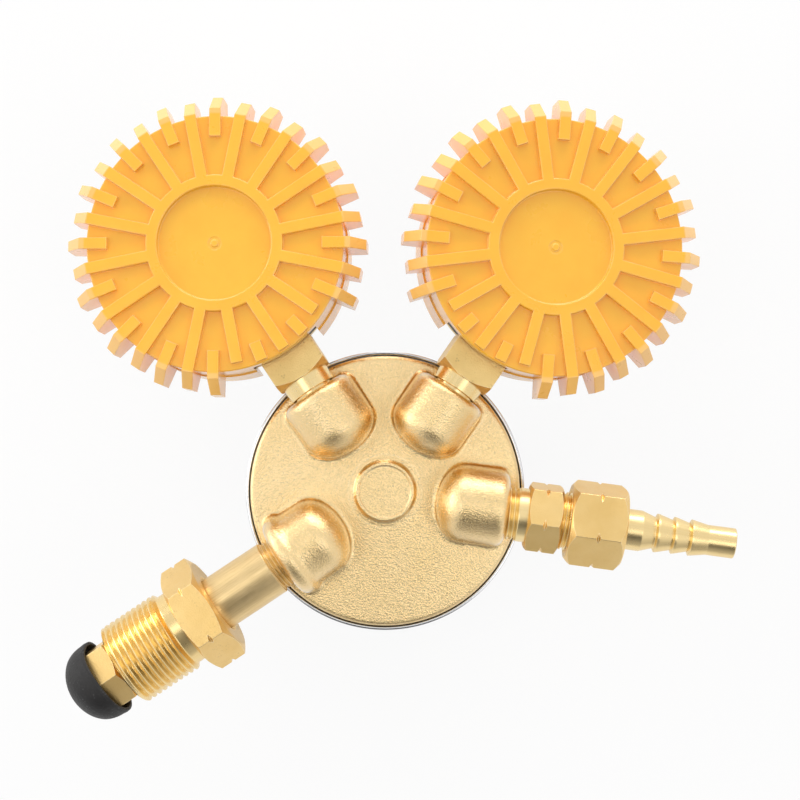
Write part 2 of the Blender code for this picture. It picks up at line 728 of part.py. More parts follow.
def build_bonnet():
    """Make the plated bonnet, screwed over the body's rim, with its vent."""
    inside_r = BODY_R + FIT_GAP
    outside_r = inside_r + BONNET_LIP_WALL
    lip_z = RIM_Z - BONNET_LIP_DROP
    band_z = lip_z - BONNET_BAND
    ledge_r = DIAPHRAGM_R - SLIP_RING_WIDTH - FIT_GAP
    shoulder_r = outside_r - BONNET_BAND_STEP
    chamber_r = BONNET_FRONT_R - BONNET_WALL
    profile = [
        (outside_r - BONNET_EDGE / 3, lip_z),
        (outside_r, lip_z - BONNET_EDGE),
        (outside_r, band_z + BONNET_EDGE),
        (outside_r - BONNET_EDGE, band_z),
    ]
    profile += bell(BONNET_FRONT_R, shoulder_r, DOME_Z, band_z)
    profile += [
        (BONNET_NECK_R, DOME_Z),
        (BONNET_NECK_R, NECK_Z + BONNET_EDGE),
        (BONNET_NECK_R - BONNET_EDGE, NECK_Z),
        (SCREW_R + FIT_GAP, NECK_Z),
        (SCREW_R + FIT_GAP, CHAMBER_Z),
    ]
    profile += bell(chamber_r, ledge_r, CHAMBER_Z, band_z)[::-1]
    profile += [(ledge_r, LEDGE_Z), (inside_r, LEDGE_Z), (inside_r, lip_z)]
    bonnet = turned("bonnet", profile, LARGE_STEPS, closed=True)
    vent_z = (DOME_Z + band_z) / 2
    vent = rod("vent", VENT_R, chamber_r, outside_r, TINY_STEPS)
    vent.location = (0, 0, vent_z)
    vent.rotation_euler = (0, math.pi / 2, math.pi / 2)
    combine(bonnet, vent, "DIFFERENCE")
    return finish_piece(bonnet, "chrome")


def build_knob():
    """Make the fluted adjusting knob, whose front face is the origin's plane."""
    inner_r = KNOB_R - KNOB_FLUTE_DEPTH - KNOB_WALL
    hub_top = KNOB_FLOOR + KNOB_HUB_HEIGHT
    hole_r = SCREW_R + FIT_GAP
    profile = [(0, KNOB_FLOOR), (hole_r, KNOB_FLOOR), (hole_r, hub_top), (KNOB_HUB_R, hub_top)]
    profile += [(KNOB_HUB_R, KNOB_FLOOR), (inner_r, KNOB_FLOOR), (inner_r, KNOB_HEIGHT)]
    profile += rounded_edge(KNOB_R, KNOB_HEIGHT, KNOB_EDGE, 1)
    profile += rounded_edge(KNOB_R, 0, KNOB_EDGE, -1)
    profile.append((0, 0))
    knob = turned("adjusting_knob", profile, 3 * KNOB_FLUTES)
    flutes = []
    for index in range(KNOB_FLUTES):
        angle = math.tau * index / KNOB_FLUTES
        reach = KNOB_R - KNOB_FLUTE_DEPTH + KNOB_FLUTE_R
        centre = (reach * math.cos(angle), reach * math.sin(angle))
        flutes.append(circle(KNOB_FLUTE_R, SMALL_STEPS // 2, centre))
    cutter = plate("knob_flutes", flutes, -CUT_MARGIN, KNOB_HEIGHT + CUT_MARGIN)
    combine(knob, cutter, "DIFFERENCE")
    return finish_piece(knob, "black_plastic")


def build_spring_group():
    """Make the adjusting screw, spring button, main spring, diaphragm group and their seats."""
    tip = SCREW_R / 2
    screw_top = BUTTON_Z - FIT_GAP + BUTTON_PILOT
    screw_low = KNOB_FLOOR + FIT_GAP
    profile = [(0, screw_top), (tip, screw_top), (SCREW_R, screw_top - (SCREW_R - tip))]
    profile += [(SCREW_R, screw_low), (0, screw_low)]
    finish_piece(turned("adjusting_screw", profile, SMALL_STEPS), "steel")

    button_top = BUTTON_Z + BUTTON_THICKNESS
    pilot_r = SPRING_R - SPRING_WIRE_R - FIT_GAP
    dimple_r = tip + FIT_GAP
    button = [(0, button_top + BUTTON_PILOT), (pilot_r, button_top + BUTTON_PILOT), (pilot_r, button_top)]
    button += [(BUTTON_R, button_top), (BUTTON_R, BUTTON_Z), (dimple_r + BUTTON_PILOT, BUTTON_Z)]
    button += [(dimple_r, BUTTON_Z + BUTTON_PILOT), (0, BUTTON_Z + BUTTON_PILOT)]
    finish_piece(turned("spring_button", button, SMALL_STEPS), "steel")

    spring_top = SPRING_Z + SPRING_LENGTH
    spring = coil("main_spring", SPRING_R, SPRING_WIRE_R, SPRING_Z, spring_top, SPRING_TURNS)
    finish_piece(spring, "steel")

    plate_top = PLATE_Z + PLATE_THICKNESS
    pressure_plate = [(0, plate_top), (PLATE_R, plate_top), (PLATE_R, PLATE_Z), (pilot_r, PLATE_Z)]
    pressure_plate += [(pilot_r, PLATE_Z - BUTTON_PILOT), (0, PLATE_Z - BUTTON_PILOT)]
    finish_piece(turned("diaphragm_plate", pressure_plate, MEDIUM_STEPS), "steel")

    diaphragm = rod("diaphragm", DIAPHRAGM_R, DIAPHRAGM_Z, DIAPHRAGM_Z + DIAPHRAGM_THICKNESS, LARGE_STEPS)
    finish_piece(diaphragm, "rubber")
    ring_top = SLIP_RING_Z + SLIP_RING_THICKNESS
    ring_r = DIAPHRAGM_R - SLIP_RING_WIDTH
    ring = [(DIAPHRAGM_R, ring_top), (DIAPHRAGM_R, SLIP_RING_Z), (ring_r, SLIP_RING_Z), (ring_r, ring_top)]
    finish_piece(turned("slip_ring", ring, MEDIUM_STEPS, closed=True), "steel")


def build_valve():
    """Make the seat nozzle, the poppet with its pin, and the valve spring."""
    head_top = RECESS_Z - FIT_GAP
    plug_top = head_top + FIT_GAP + NOZZLE_PLUG
    plug_r = VALVE_CHAMBER_R - FIT_GAP
    nozzle = rod("seat_nozzle", plug_r, head_top - SINK, plug_top, SMALL_STEPS)
    head = plate("nozzle_head", [polygon(6, NOZZLE_FLATS)], head_top - NOZZLE_HEAD, head_top)
    combine(nozzle, head, "UNION")
    bore_low = head_top - NOZZLE_HEAD - CUT_MARGIN
    bore = rod("nozzle_bore", NOZZLE_BORE_R, bore_low, plug_top + CUT_MARGIN, SMALL_STEPS)
    combine(nozzle, bore, "DIFFERENCE")
    finish_piece(nozzle, "turned_brass")

    poppet_z = plug_top + FIT_GAP
    poppet_top = poppet_z + POPPET_THICKNESS
    pin_low = SEAT_Z
    poppet = [(0, poppet_top), (POPPET_R, poppet_top), (POPPET_R, poppet_z), (VALVE_PIN_R, poppet_z)]
    poppet += [(VALVE_PIN_R, pin_low), (0, pin_low)]
    finish_piece(turned("valve_poppet", poppet, SMALL_STEPS), "steel")

    spring_low = poppet_top + FIT_GAP
    spring_top = VALVE_ROOF_Z - FIT_GAP
    wire_r = VALVE_SPRING_WIRE_R
    spring = coil("valve_spring", VALVE_SPRING_R, wire_r, spring_low, spring_top, VALVE_SPRING_TURNS)
    finish_piece(spring, "steel")


# ================================================================ inlet
def build_inlet(frame):
    """Make the inlet nipple, its captive nut, filter, nose seal and rubber cap."""
    nut_end = INLET_NUT_START + INLET_NUT_HEX + INLET_NUT_NECK + INLET_NUT_THREAD
    hex_start = nut_end + FIT_GAP
    hex_end = hex_start + NOSE_HEX
    nose_end = hex_end + NOSE_LENGTH
    groove = nose_end - 2.5 * SEAL_GROOVE_HALF
    groove_r = NOSE_R - SEAL_GROOVE_HALF
    profile = [
        (0, nose_end),
        (groove_r, nose_end),
        (NOSE_R, groove + SEAL_GROOVE_HALF),
        (groove_r, groove + SEAL_GROOVE_HALF),
        (groove_r, groove - SEAL_GROOVE_HALF),
        (NOSE_R, groove - SEAL_GROOVE_HALF),
        (NOSE_R, hex_end - SINK),
        (NIPPLE_R, hex_end - SINK),
        (NIPPLE_R, NIPPLE_START),
    ]
    thread_low = BOSS_FACE - INLET_NUT_PITCH
    profile += thread_profile(INLET_THREAD_R, INLET_NUT_PITCH, NIPPLE_START, thread_low)
    profile += [(INLET_THREAD_R - FIT_GAP, THREAD_END), (0, THREAD_END)]
    nipple = turned("inlet_nipple", profile, SMALL_STEPS, frame)
    hexagon = polygon(6, NOSE_HEX_FLATS, NOSE_HEX_TURN)
    combine(nipple, plate("nose_hex", [hexagon], hex_start, hex_end, frame), "UNION")
    bore_low = THREAD_END - CUT_MARGIN
    bore = rod("nipple_bore", NIPPLE_BORE_R, bore_low, nose_end + CUT_MARGIN, SMALL_STEPS, frame)
    combine(nipple, bore, "DIFFERENCE")
    finish_piece(nipple, "turned_brass")

    thread_start = nut_end - INLET_NUT_THREAD
    neck_start = thread_start - INLET_NUT_NECK
    # the nut's end is sunk round the nose hexagon, so the ring outside it is free to seat on
    recess_r = NOSE_HEX_FLATS / 2 / math.cos(math.pi / 6) + FIT_GAP
    nut_profile = [(0, nut_end - FIT_GAP), (recess_r, nut_end - FIT_GAP), (recess_r, nut_end)]
    nut_profile += thread_profile(INLET_NUT_THREAD_R, INLET_NUT_PITCH, nut_end, thread_start)
    nut_profile += [(INLET_NUT_NECK_R, thread_start), (INLET_NUT_NECK_R, neck_start - SINK)]
    nut_profile.append((0, neck_start - SINK))
    nut = turned("inlet_nut", nut_profile, SMALL_STEPS, frame)
    nut_hex = notched_hex(
        "inlet_nut_hex",
        INLET_NUT_FLATS,
        INLET_NUT_START,
        neck_start,
        INLET_NUT_CHAMFER,
        INLET_NUT_TURN,
        frame,
    )
    combine(nut, nut_hex, "UNION")
    bore_low = INLET_NUT_START - CUT_MARGIN
    nut_bore = rod("nut_bore", NIPPLE_R + FIT_GAP, bore_low, nut_end + CUT_MARGIN, MEDIUM_STEPS, frame)
    combine(nut, nut_bore, "DIFFERENCE")
    finish_piece(nut, "turned_brass")

    filter_end = THREAD_END + FILTER_LENGTH
    finish_piece(rod("inlet_filter", FILTER_R, THREAD_END, filter_end, SMALL_STEPS, frame), "bronze")

    seal_mid = groove_r + FIT_GAP + SEAL_WIRE_R
    seal = [(seal_mid + x, groove + y) for x, y in circle(SEAL_WIRE_R, TINY_STEPS // 2)[::-1]]
    finish_piece(turned("inlet_seal", seal, SMALL_STEPS, frame, closed=True), "rubber")

    cap_low = hex_end + FIT_GAP
    cap_inner_r = max(NOSE_R, seal_mid + SEAL_WIRE_R) + FIT_GAP
    cavity_top = nose_end + FIT_GAP
    cap_top = cavity_top + CAP_WALL
    skirt = (cap_top - cap_low) * CAP_SKIRT
    crown = cap_top - cap_low - skirt
    cap = []
    for index in range(NOSE_STEPS + 1):
        turn = math.pi / 2 * index / NOSE_STEPS
        cap.append((CAP_R * math.sin(turn), cap_low + skirt + crown * math.cos(turn)))
    cap += [(CAP_R - FIT_GAP, cap_low), (cap_inner_r, cap_low), (cap_inner_r, cavity_top), (0, cavity_top)]
    finish_piece(turned("inlet_cap", cap, SMALL_STEPS, frame), "rubber")


# ================================================================ outlet
def barb_profile(start):
    """Return (radius, distance) points of the barbed end, from its tip down to the distance given."""
    points = []
    shank_end = start + BARB_SHANK
    first = shank_end + BARB_TAPER
    tip_start = first + BARB_PITCH * len(BARB_PEAKS)
    tip_end = tip_start + BARB_TIP
    points += [(BARB_TIP_R - FIT_GAP, tip_end), (BARB_TIP_R, tip_end - FIT_GAP), (BARB_TIP_R, tip_start)]
    for index in range(len(BARB_PEAKS) - 1, -1, -1):
        peak = BARB_PEAKS[index]
        foot = first + BARB_PITCH * index
        valley_r = peak - BARB_VALLEY_DROP
        points += [(valley_r, foot + BARB_PITCH - FIT_GAP), (peak, foot + FIT_GAP), (peak, foot)]
        points.append((valley_r, foot - FIT_GAP))
    points.append((BARB_SHANK_R, shank_end))
    return points, tip_end


def build_outlet(frame):
    """Make the outlet adaptor, the coupling nut and the hose barb."""
    neck_start = NIPPLE_START
    hex_start = neck_start + ADAPTOR_NECK
    hex_end = hex_start + ADAPTOR_HEX
    thread_end = hex_end + ADAPTOR_THREAD
    pitch = ADAPTOR_THREAD_PITCH
    profile = [(0, thread_end)]
    profile += thread_profile(ADAPTOR_THREAD_R, pitch, thread_end, hex_end - SINK)
    profile += [(ADAPTOR_NECK_R, hex_end - SINK), (ADAPTOR_NECK_R, neck_start)]
    profile += thread_profile(OUTLET_THREAD_R, pitch, neck_start, BOSS_FACE - pitch)
    profile += [(OUTLET_THREAD_R - FIT_GAP, THREAD_END), (0, THREAD_END)]
    adaptor = turned("outlet_adaptor", profile, SMALL_STEPS, frame)
    adaptor_hex = notched_hex(
        "adaptor_hex", ADAPTOR_FLATS, hex_start, hex_end, ADAPTOR_CHAMFER, ADAPTOR_TURN, frame
    )
    combine(adaptor, adaptor_hex, "UNION")
    bore_low = THREAD_END - CUT_MARGIN
    bore = rod("adaptor_bore", ADAPTOR_BORE_R, bore_low, thread_end + CUT_MARGIN, SMALL_STEPS, frame)
    combine(adaptor, bore, "DIFFERENCE")
    finish_piece(adaptor, "turned_brass")

    nut_start = hex_end + OUTLET_NUT_GAP
    nut_end = nut_start + OUTLET_NUT_LENGTH
    floor = nut_end - OUTLET_NUT_FLOOR
    nut = notched_hex(
        "outlet_nut", OUTLET_NUT_FLATS, nut_start, nut_end, OUTLET_NUT_CHAMFER, OUTLET_NUT_TURN, frame
    )
    cavity_r = ADAPTOR_THREAD_R + FIT_GAP
    cavity = rod("outlet_nut_cavity", cavity_r, nut_start - CUT_MARGIN, floor, MEDIUM_STEPS, frame)
    combine(nut, cavity, "DIFFERENCE")
    passage_r = BARB_SHANK_R + FIT_GAP
    passage = rod("outlet_nut_passage", passage_r, floor - SINK, nut_end + CUT_MARGIN, SMALL_STEPS, frame)
    combine(nut, passage, "DIFFERENCE")
    finish_piece(nut, "turned_brass")

    points, tip_end = barb_profile(nut_end)
    collar_top = floor - FIT_GAP
    collar_low = thread_end + FIT_GAP
    points = [(0, tip_end)] + points
    points += [(BARB_SHANK_R, collar_top), (BARB_COLLAR_R, collar_top), (BARB_COLLAR_R, collar_low)]
    points += [(0, collar_low)]
    barb = turned("hose_barb", points, SMALL_STEPS, frame)
    bore = rod("barb_bore", BARB_BORE_R, collar_low - CUT_MARGIN, tip_end + CUT_MARGIN, SMALL_STEPS, frame)
    combine(barb, bore, "DIFFERENCE")
    finish_piece(barb, "turned_brass")


# ================================================================ gauges
def rib_outline(start, edge_r, tooth_r):
    """Return a rib's side view as (radius, height) points, with its tooth if it has one."""
    low = COVER_FLOOR_Z - SINK
    top = COVER_TOP_Z
    if tooth_r is None:
        return [(start, low), (edge_r, low), (edge_r, top), (start, top)]
    tooth_low = top - TOOTH_DEPTH
    inner = COVER_R - SINK
    return [
        (start, low),
        (inner, low),
        (inner, tooth_low),
        (tooth_r, tooth_low),
        (tooth_r, top - TOOTH_CHAMFER),
        (edge_r, top),
        (start, top),
    ]


def rib_kind(index):
    """Return a rib's side view by its number, counted from the stem's direction."""
    long_rib = index % 2 == 0
    start = HUB_RING_R - HUB_RING_WIDTH / 2 if long_rib else COVER_R - SHORT_RIB_LENGTH
    from_stem = min(index, 2 * RIB_PAIRS - index)
    if from_stem <= 2:
        edge = COVER_R - (SINK if from_stem < 2 else COVER_WALL)
        return rib_outline(start, edge, None)
    if long_rib:
        return rib_outline(start, COVER_R + LONG_RIB_REACH, COVER_R + LONG_TOOTH_REACH)
    return rib_outline(start, COVER_R + SHORT_RIB_REACH, COVER_R + SHORT_TOOTH_REACH)


def build_ribs(name, parent):
    """Make all ribs and teeth of one cover as one helper."""
    ribs = bmesh.new()
    for index in range(2 * RIB_PAIRS):
        rib = plate("rib", [rib_kind(index)], -RIB_WIDTH / 2, RIB_WIDTH / 2)
        turn = Matrix.Rotation(math.tau * index / (2 * RIB_PAIRS), 4, "Z")
        stand_up = Matrix.Rotation(math.pi / 2, 4, "X")
        rib.data.transform(turn @ stand_up)
        ribs.from_mesh(rib.data)
        bpy.data.objects.remove(rib)
    mesh = bpy.data.meshes.new(name)
    ribs.to_mesh(mesh)
    ribs.free()
    return place(bpy.data.objects.new(name, mesh), parent, (0, 0, -PORT_Z))


def build_cover(side, parent):
    """Make a gauge's ribbed cover: a cup, open to the front, with a slot for the stem."""
    step_z = COVER_TOP_Z - TOOTH_DEPTH
    inner_r = COVER_R - COVER_WALL
    ring_inner = HUB_RING_R - HUB_RING_WIDTH
    inner_top = COVER_FLOOR_Z - COVER_FLOOR
    profile = [
        (0, COVER_FLOOR_Z),
        (ring_inner, COVER_FLOOR_Z),
        (ring_inner, COVER_TOP_Z),
        (HUB_RING_R, COVER_TOP_Z),
        (HUB_RING_R, COVER_FLOOR_Z),
        (COVER_R - FIT_GAP, COVER_FLOOR_Z),
        (COVER_R, COVER_FLOOR_Z - FIT_GAP),
        (COVER_R, step_z),
        (COVER_R + COVER_STEP, step_z - COVER_STEP),
        (COVER_R + COVER_STEP, COVER_FRONT_Z),
        (inner_r, COVER_FRONT_Z),
        (inner_r, inner_top),
        (0, inner_top),
    ]
    cover = turned(side + "_gauge_cover", profile, 2 * RIB_PAIRS, parent, (0, 0, -PORT_Z))
    combine(cover, build_ribs(side + "_ribs", parent), "UNION")
    half = STEM_FLATS / 2 + STEM_SLOT_SIDE_GAP
    slot_top = STEM_FLATS / 2 + STEM_SLOT_GAP
    slot_end = COVER_R + CUT_MARGIN
    slot = [(inner_r / 2, -half), (slot_end, -half), (slot_end, half), (inner_r / 2, half)]
    slot_low = COVER_FRONT_Z - PORT_Z - CUT_MARGIN
    combine(cover, plate(side + "_slot", [slot], slot_low, slot_top, parent), "DIFFERENCE")
    return finish_piece(cover, "cover")


def build_case(side, parent):
    """Make the gauge's case, its bezel, lens and dial."""
    down = (0, 0, -PORT_Z)
    inner_r = CASE_R - CASE_WALL
    case_top = CASE_TOP_Z
    case_floor = case_top - CASE_WALL
    profile = [(0, case_top), (inner_r, case_top), (CASE_R, case_floor), (CASE_R, CASE_FRONT_Z)]
    profile += [(inner_r, CASE_FRONT_Z), (inner_r, case_floor), (0, case_floor)]
    case = turned(side + "_gauge_case", profile, MEDIUM_STEPS, parent, down)
    half_width = STEM_BLOCK_WIDTH / 2 + FIT_GAP
    half_depth = STEM_BLOCK_DEPTH / 2 + FIT_GAP
    window = [(STEM_BLOCK_END, -half_width), (CASE_R + CUT_MARGIN, -half_width)]
    window += [(x, -y) for x, y in window[::-1]]
    combine(case, plate(side + "_case_window", [window], -half_depth, half_depth, parent), "DIFFERENCE")
    finish_piece(case, "steel")

    top = BEZEL_Z + BEZEL_DEPTH
    seat_r = CASE_R - BEZEL_WALL - FIT_GAP
    bezel = [(CASE_R, top), (CASE_R, BEZEL_Z + BEZEL_WALL / 2), (CASE_R - BEZEL_WALL / 2, BEZEL_Z)]
    bezel += [(CASE_R - BEZEL_LIP, BEZEL_Z), (CASE_R - BEZEL_LIP, BEZEL_Z + BEZEL_WALL)]
    bezel += [(seat_r, BEZEL_Z + BEZEL_WALL), (seat_r, top)]
    ring = turned(side + "_gauge_bezel", bezel, MEDIUM_STEPS, parent, down, closed=True)
    finish_piece(ring, "turned_brass")

    lens_r = seat_r - FIT_GAP
    lens = rod(side + "_gauge_lens", lens_r, LENS_Z, LENS_Z + LENS_THICKNESS, MEDIUM_STEPS, parent, down)
    finish_piece(lens, "lens")

    dial_r = inner_r - DIAL_EDGE_GAP
    dial_low = DIAL_Z - PORT_Z
    outlines = [circle(dial_r, MEDIUM_STEPS), circle(DIAL_HOLE_R, TINY_STEPS)]
    dial = plate(side + "_gauge_dial", outlines, dial_low, dial_low + DIAL_THICKNESS, parent)
    finish_piece(dial, "dial")


def build_stem(side, distance, frame):
    """Make the square gauge stem with its thread, collar and the block that holds the tube."""
    collar_low = distance - STEM_REACH
    square_low = collar_low + STEM_COLLAR
    square_high = distance - CASE_R - FIT_GAP
    block_high = distance - STEM_BLOCK_END
    profile = [(0, square_low + SINK), (STEM_COLLAR_R, square_low + SINK), (STEM_COLLAR_R, collar_low)]
    profile += [(STEM_THREAD_R, collar_low), (STEM_THREAD_R, THREAD_END), (0, THREAD_END)]
    stem = turned(side + "_gauge_stem", profile, SMALL_STEPS, frame)
    corner_r = STEM_FLATS / 2 * math.sqrt(2)
    blank_r = corner_r + FIT_GAP
    chamfer = corner_r - STEM_FLATS / 2 - FIT_GAP
    blank = [(0, square_high), (blank_r, square_high), (blank_r, square_low + chamfer / 2)]
    blank += [(corner_r - chamfer, square_low), (0, square_low)]
    square = turned(side + "_square", blank, MEDIUM_STEPS, frame)
    sides_low = square_low - CUT_MARGIN
    sides = plate(side + "_square_sides", [polygon(4, STEM_FLATS)], sides_low, block_high, frame)
    combine(square, sides, "INTERSECT")
    combine(stem, square, "UNION")
    x = STEM_BLOCK_DEPTH / 2
    y = STEM_BLOCK_WIDTH / 2
    section = [(-x, -y), (x, -y), (x, y), (-x, y)]
    combine(stem, plate(side + "_block", [section], square_high - SINK, block_high, frame), "UNION")
    bore_low = THREAD_END - CUT_MARGIN
    bore = rod(side + "_stem_bore", STEM_BORE_R, bore_low, block_high - CUT_MARGIN, TINY_STEPS, frame)
    combine(stem, bore, "DIFFERENCE")
    return finish_piece(stem, "turned_brass")


def tooth_points(teeth, index):
    """Return one tooth of an involute gear, counter-clockwise, with a root point before and after it."""
    pitch_r = GEAR_MODULE * teeth / 2
    base_r = pitch_r * math.cos(GEAR_PRESSURE)
    root_r = pitch_r - GEAR_MODULE * GEAR_DEDENDUM
    tip_r = pitch_r + GEAR_MODULE * GEAR_ADDENDUM
    start_r = max(base_r, root_r)
    half = math.pi / (2 * teeth) - GEAR_BACKLASH / (4 * pitch_r)
    pitch_roll = math.tan(GEAR_PRESSURE) - GEAR_PRESSURE
    middle = math.tau * index / teeth
    flank = []
    for radius in (start_r, tip_r):
        pressure = math.acos(min(1.0, base_r / radius))
        flank.append((radius, half + pitch_roll - (math.tan(pressure) - pressure)))
    rising = [(root_r, flank[0][1])] + flank
    falling = [(radius, -angle) for radius, angle in rising]
    points = [(radius, middle + angle) for radius, angle in falling]
    points += [(radius, middle + angle) for radius, angle in rising[::-1]]
    return [along_angle(radius, angle) for radius, angle in points]


def build_pinion(side, parent):
    """Make the pinion with its shaft, on the gauge's own axis."""
    outline = []
    for index in range(PINION_TEETH):
        outline += tooth_points(PINION_TEETH, index + 0.5)
    gear_low = GEAR_Z - PORT_Z
    pinion = plate(side + "_gauge_pinion", [outline], gear_low, gear_low + GEAR_THICKNESS, parent)
    shaft_low = POINTER_Z - PORT_Z - FIT_GAP
    shaft_high = FRAME_BACK_Z + FRAME_PLATE - PORT_Z
    shaft = rod(side + "_pinion_shaft", PINION_SHAFT_R, shaft_low, shaft_high, TINY_STEPS, parent)
    combine(pinion, shaft, "UNION")
    return finish_piece(pinion, "turned_brass")


def build_sector(side, parent):
    """Make the sector gear with its shaft, arm and link pin; its origin is its own pivot."""
    pivot = (SECTOR_X, 0, 0)
    pitch = math.tau / SECTOR_TEETH
    first = -2
    last = math.ceil(SECTOR_SWEEP / pitch) + 2
    outline = []
    for index in range(first, last + 1):
        outline += tooth_points(SECTOR_TEETH, index)
    outline.append(along_angle(SECTOR_HUB_R, ARM_ANGLE - math.pi / 2))
    arm_end = along_angle(ARM_LENGTH, ARM_ANGLE)
    outline += arc(ARM_HALF_WIDTH, ARM_ANGLE - math.pi / 2, ARM_ANGLE + math.pi / 2, 4, arm_end)
    outline.append(along_angle(SECTOR_HUB_R, ARM_ANGLE + math.pi / 2))
    gear_low = GEAR_Z - PORT_Z
    gear_high = gear_low + GEAR_THICKNESS
    sector = plate(side + "_gauge_sector_gear", [outline], gear_low, gear_high, parent, pivot)
    shaft_low = FRAME_Z - PORT_Z
    shaft_high = FRAME_BACK_Z + FRAME_PLATE - PORT_Z
    shaft = rod(side + "_sector_shaft", SECTOR_SHAFT_R, shaft_low, shaft_high, TINY_STEPS, parent, pivot)
    combine(sector, shaft, "UNION")
    pin_place = (SECTOR_X + arm_end[0], arm_end[1], 0)
    pin_high = LINK_Z + LINK_THICKNESS + FIT_GAP - PORT_Z
    pin = rod(side + "_arm_pin", ARM_PIN_R, gear_low + SINK, pin_high, TINY_STEPS, parent, pin_place)
    combine(sector, pin, "UNION")
    finish_piece(sector, "turned_brass")

    link_end = along_angle(LINK_END_R, TUBE_TIP + LINK_END_TURN)
    far = (link_end[0] - pin_place[0], link_end[1] - pin_place[1])
    along = math.atan2(far[1], far[0])
    link_outline = arc(LINK_HALF_WIDTH, along + math.pi / 2, along + 3 * math.pi / 2, 4)
    link_outline += arc(LINK_HALF_WIDTH, along - math.pi / 2, along + math.pi / 2, 4, far)
    outlines = [link_outline, circle(ARM_PIN_R + FIT_GAP, TINY_STEPS)]
    link_low = LINK_Z - PORT_Z
    link = plate(side + "_gauge_link", outlines, link_low, link_low + LINK_THICKNESS, parent, pin_place)
    return finish_piece(link, "turned_brass")


def build_movement(side, parent):
    """Make the frame that carries the gears, and the pointer."""
    left_x = SECTOR_X - SECTOR_SHAFT_R - 2 * FRAME_PLATE
    foot_x = STEM_BLOCK_END + FRAME_FOOT
    front_low = FRAME_Z - PORT_Z
    back_low = FRAME_BACK_Z - PORT_Z
    narrow = SECTOR_HUB_R
    holes = [
        circle(PINION_SHAFT_R + FIT_GAP, TINY_STEPS),
        circle(SECTOR_SHAFT_R + FIT_GAP, TINY_STEPS, (SECTOR_X, 0)),
    ]
    wide = FRAME_HALF_WIDTH
    back_x = FRAME_POST_X + 2 * FRAME_POST_R
    front_outline = [(left_x, -narrow), (-wide / 2, -wide), (foot_x, -FRAME_POST_Y)]
    front_outline += [(x, -y) for x, y in front_outline[::-1]]
    back_outline = [(left_x, -narrow), (-wide / 2, -wide), (back_x, -wide)]
    back_outline += [(x, -y) for x, y in back_outline[::-1]]
    front_high = front_low + FRAME_PLATE
    frame = plate(side + "_gauge_movement_frame", [front_outline, *holes], front_low, front_high, parent)
    back = plate(side + "_frame_back", [back_outline, *holes], back_low, back_low + FRAME_PLATE, parent)
    combine(frame, back, "UNION")
    for post_y in (-FRAME_POST_Y, FRAME_POST_Y):
        post_place = (FRAME_POST_X, post_y, 0)
        post_low = front_low + FRAME_PLATE / 2
        post_high = back_low + FRAME_PLATE / 2
        post = rod(side + "_post", FRAME_POST_R, post_low, post_high, TINY_STEPS, parent, post_place)
        combine(frame, post, "UNION")
    finish_piece(frame, "turned_brass")

    tail_half = POINTER_HALF_WIDTH * POINTER_TAIL_SPREAD
    needle = [(POINTER_LENGTH, -POINTER_TIP_HALF), (POINTER_LENGTH, POINTER_TIP_HALF)]
    needle += [(0, POINTER_HALF_WIDTH), (-POINTER_TAIL, tail_half)]
    needle += [(-POINTER_TAIL, -tail_half), (0, -POINTER_HALF_WIDTH)]
    needle_low = POINTER_Z - PORT_Z
    needle_high = needle_low + POINTER_THICKNESS
    pointer = plate(side + "_gauge_pointer", [needle], needle_low, needle_high, parent)
    pointer.rotation_euler = (0, 0, POINTER_ZERO)
    hub_high = needle_low + 2 * POINTER_THICKNESS
    hub = rod(side + "_pointer_hub", POINTER_HUB_R, needle_low - FIT_GAP, hub_high, TINY_STEPS, parent)
    combine(pointer, hub, "UNION")
    hole_r = PINION_SHAFT_R + FIT_GAP
    hole_low = needle_low - CUT_MARGIN
    hole = rod(side + "_pointer_hole", hole_r, hole_low, hub_high + CUT_MARGIN, TINY_STEPS, parent)
    combine(pointer, hole, "DIFFERENCE")
    return finish_piece(pointer, "black_plastic")


def build_bourdon_tube(side, parent):
    """Make the curved pressure tube, swept round the gauge's centre, with the lug at its tip."""
    section = bmesh.new()
    count = SECTION_STEPS
    ring = []
    for index in range(count):
        angle = math.tau * (index + 0.5) / count
        across = TUBE_HALF_WIDTH * math.cos(angle) / math.cos(math.pi / count)
        tall = TUBE_HALF_DEPTH * math.sin(angle) / math.sin(math.pi / 2 - math.pi / count)
        ring.append(section.verts.new((TUBE_R + across, 0, tall)))
    face = section.faces.new(ring)
    bmesh.ops.rotate(section, verts=section.verts, matrix=Matrix.Rotation(TUBE_ROOT, 3, "Z"))
    parts = [face, *face.edges, *face.verts]
    sweep = TUBE_TIP - TUBE_ROOT
    bmesh.ops.spin(section, geom=parts, axis=(0, 0, 1), cent=(0, 0, 0), angle=sweep, steps=SMALL_STEPS)
    bmesh.ops.recalc_face_normals(section, faces=section.faces)
    mesh = bpy.data.meshes.new(side + "_gauge_bourdon_tube")
    section.to_mesh(mesh)
    section.free()
    root = Vector((*along_angle(TUBE_R, TUBE_ROOT), 0))
    mesh.transform(Matrix.Translation(-root))
    tube = place(bpy.data.objects.new(side + "_gauge_bourdon_tube", mesh), parent, root)
    lug_back = TUBE_TIP + TIP_LUG_SPAN
    lug_r = TUBE_INNER_R - TIP_LUG_REACH
    lug_corners = [(lug_r, TUBE_TIP), (TUBE_R, TUBE_TIP), (TUBE_R, lug_back), (lug_r, lug_back)]
    lug_outline = [along_angle(radius, angle) for radius, angle in lug_corners]
    lug_low = TIP_LUG_Z - PORT_Z
    lug = plate(side + "_tip_lug", [lug_outline], lug_low, lug_low + TIP_LUG_THICKNESS, parent)
    combine(tube, lug, "UNION")
    return finish_piece(tube, "turned_brass")


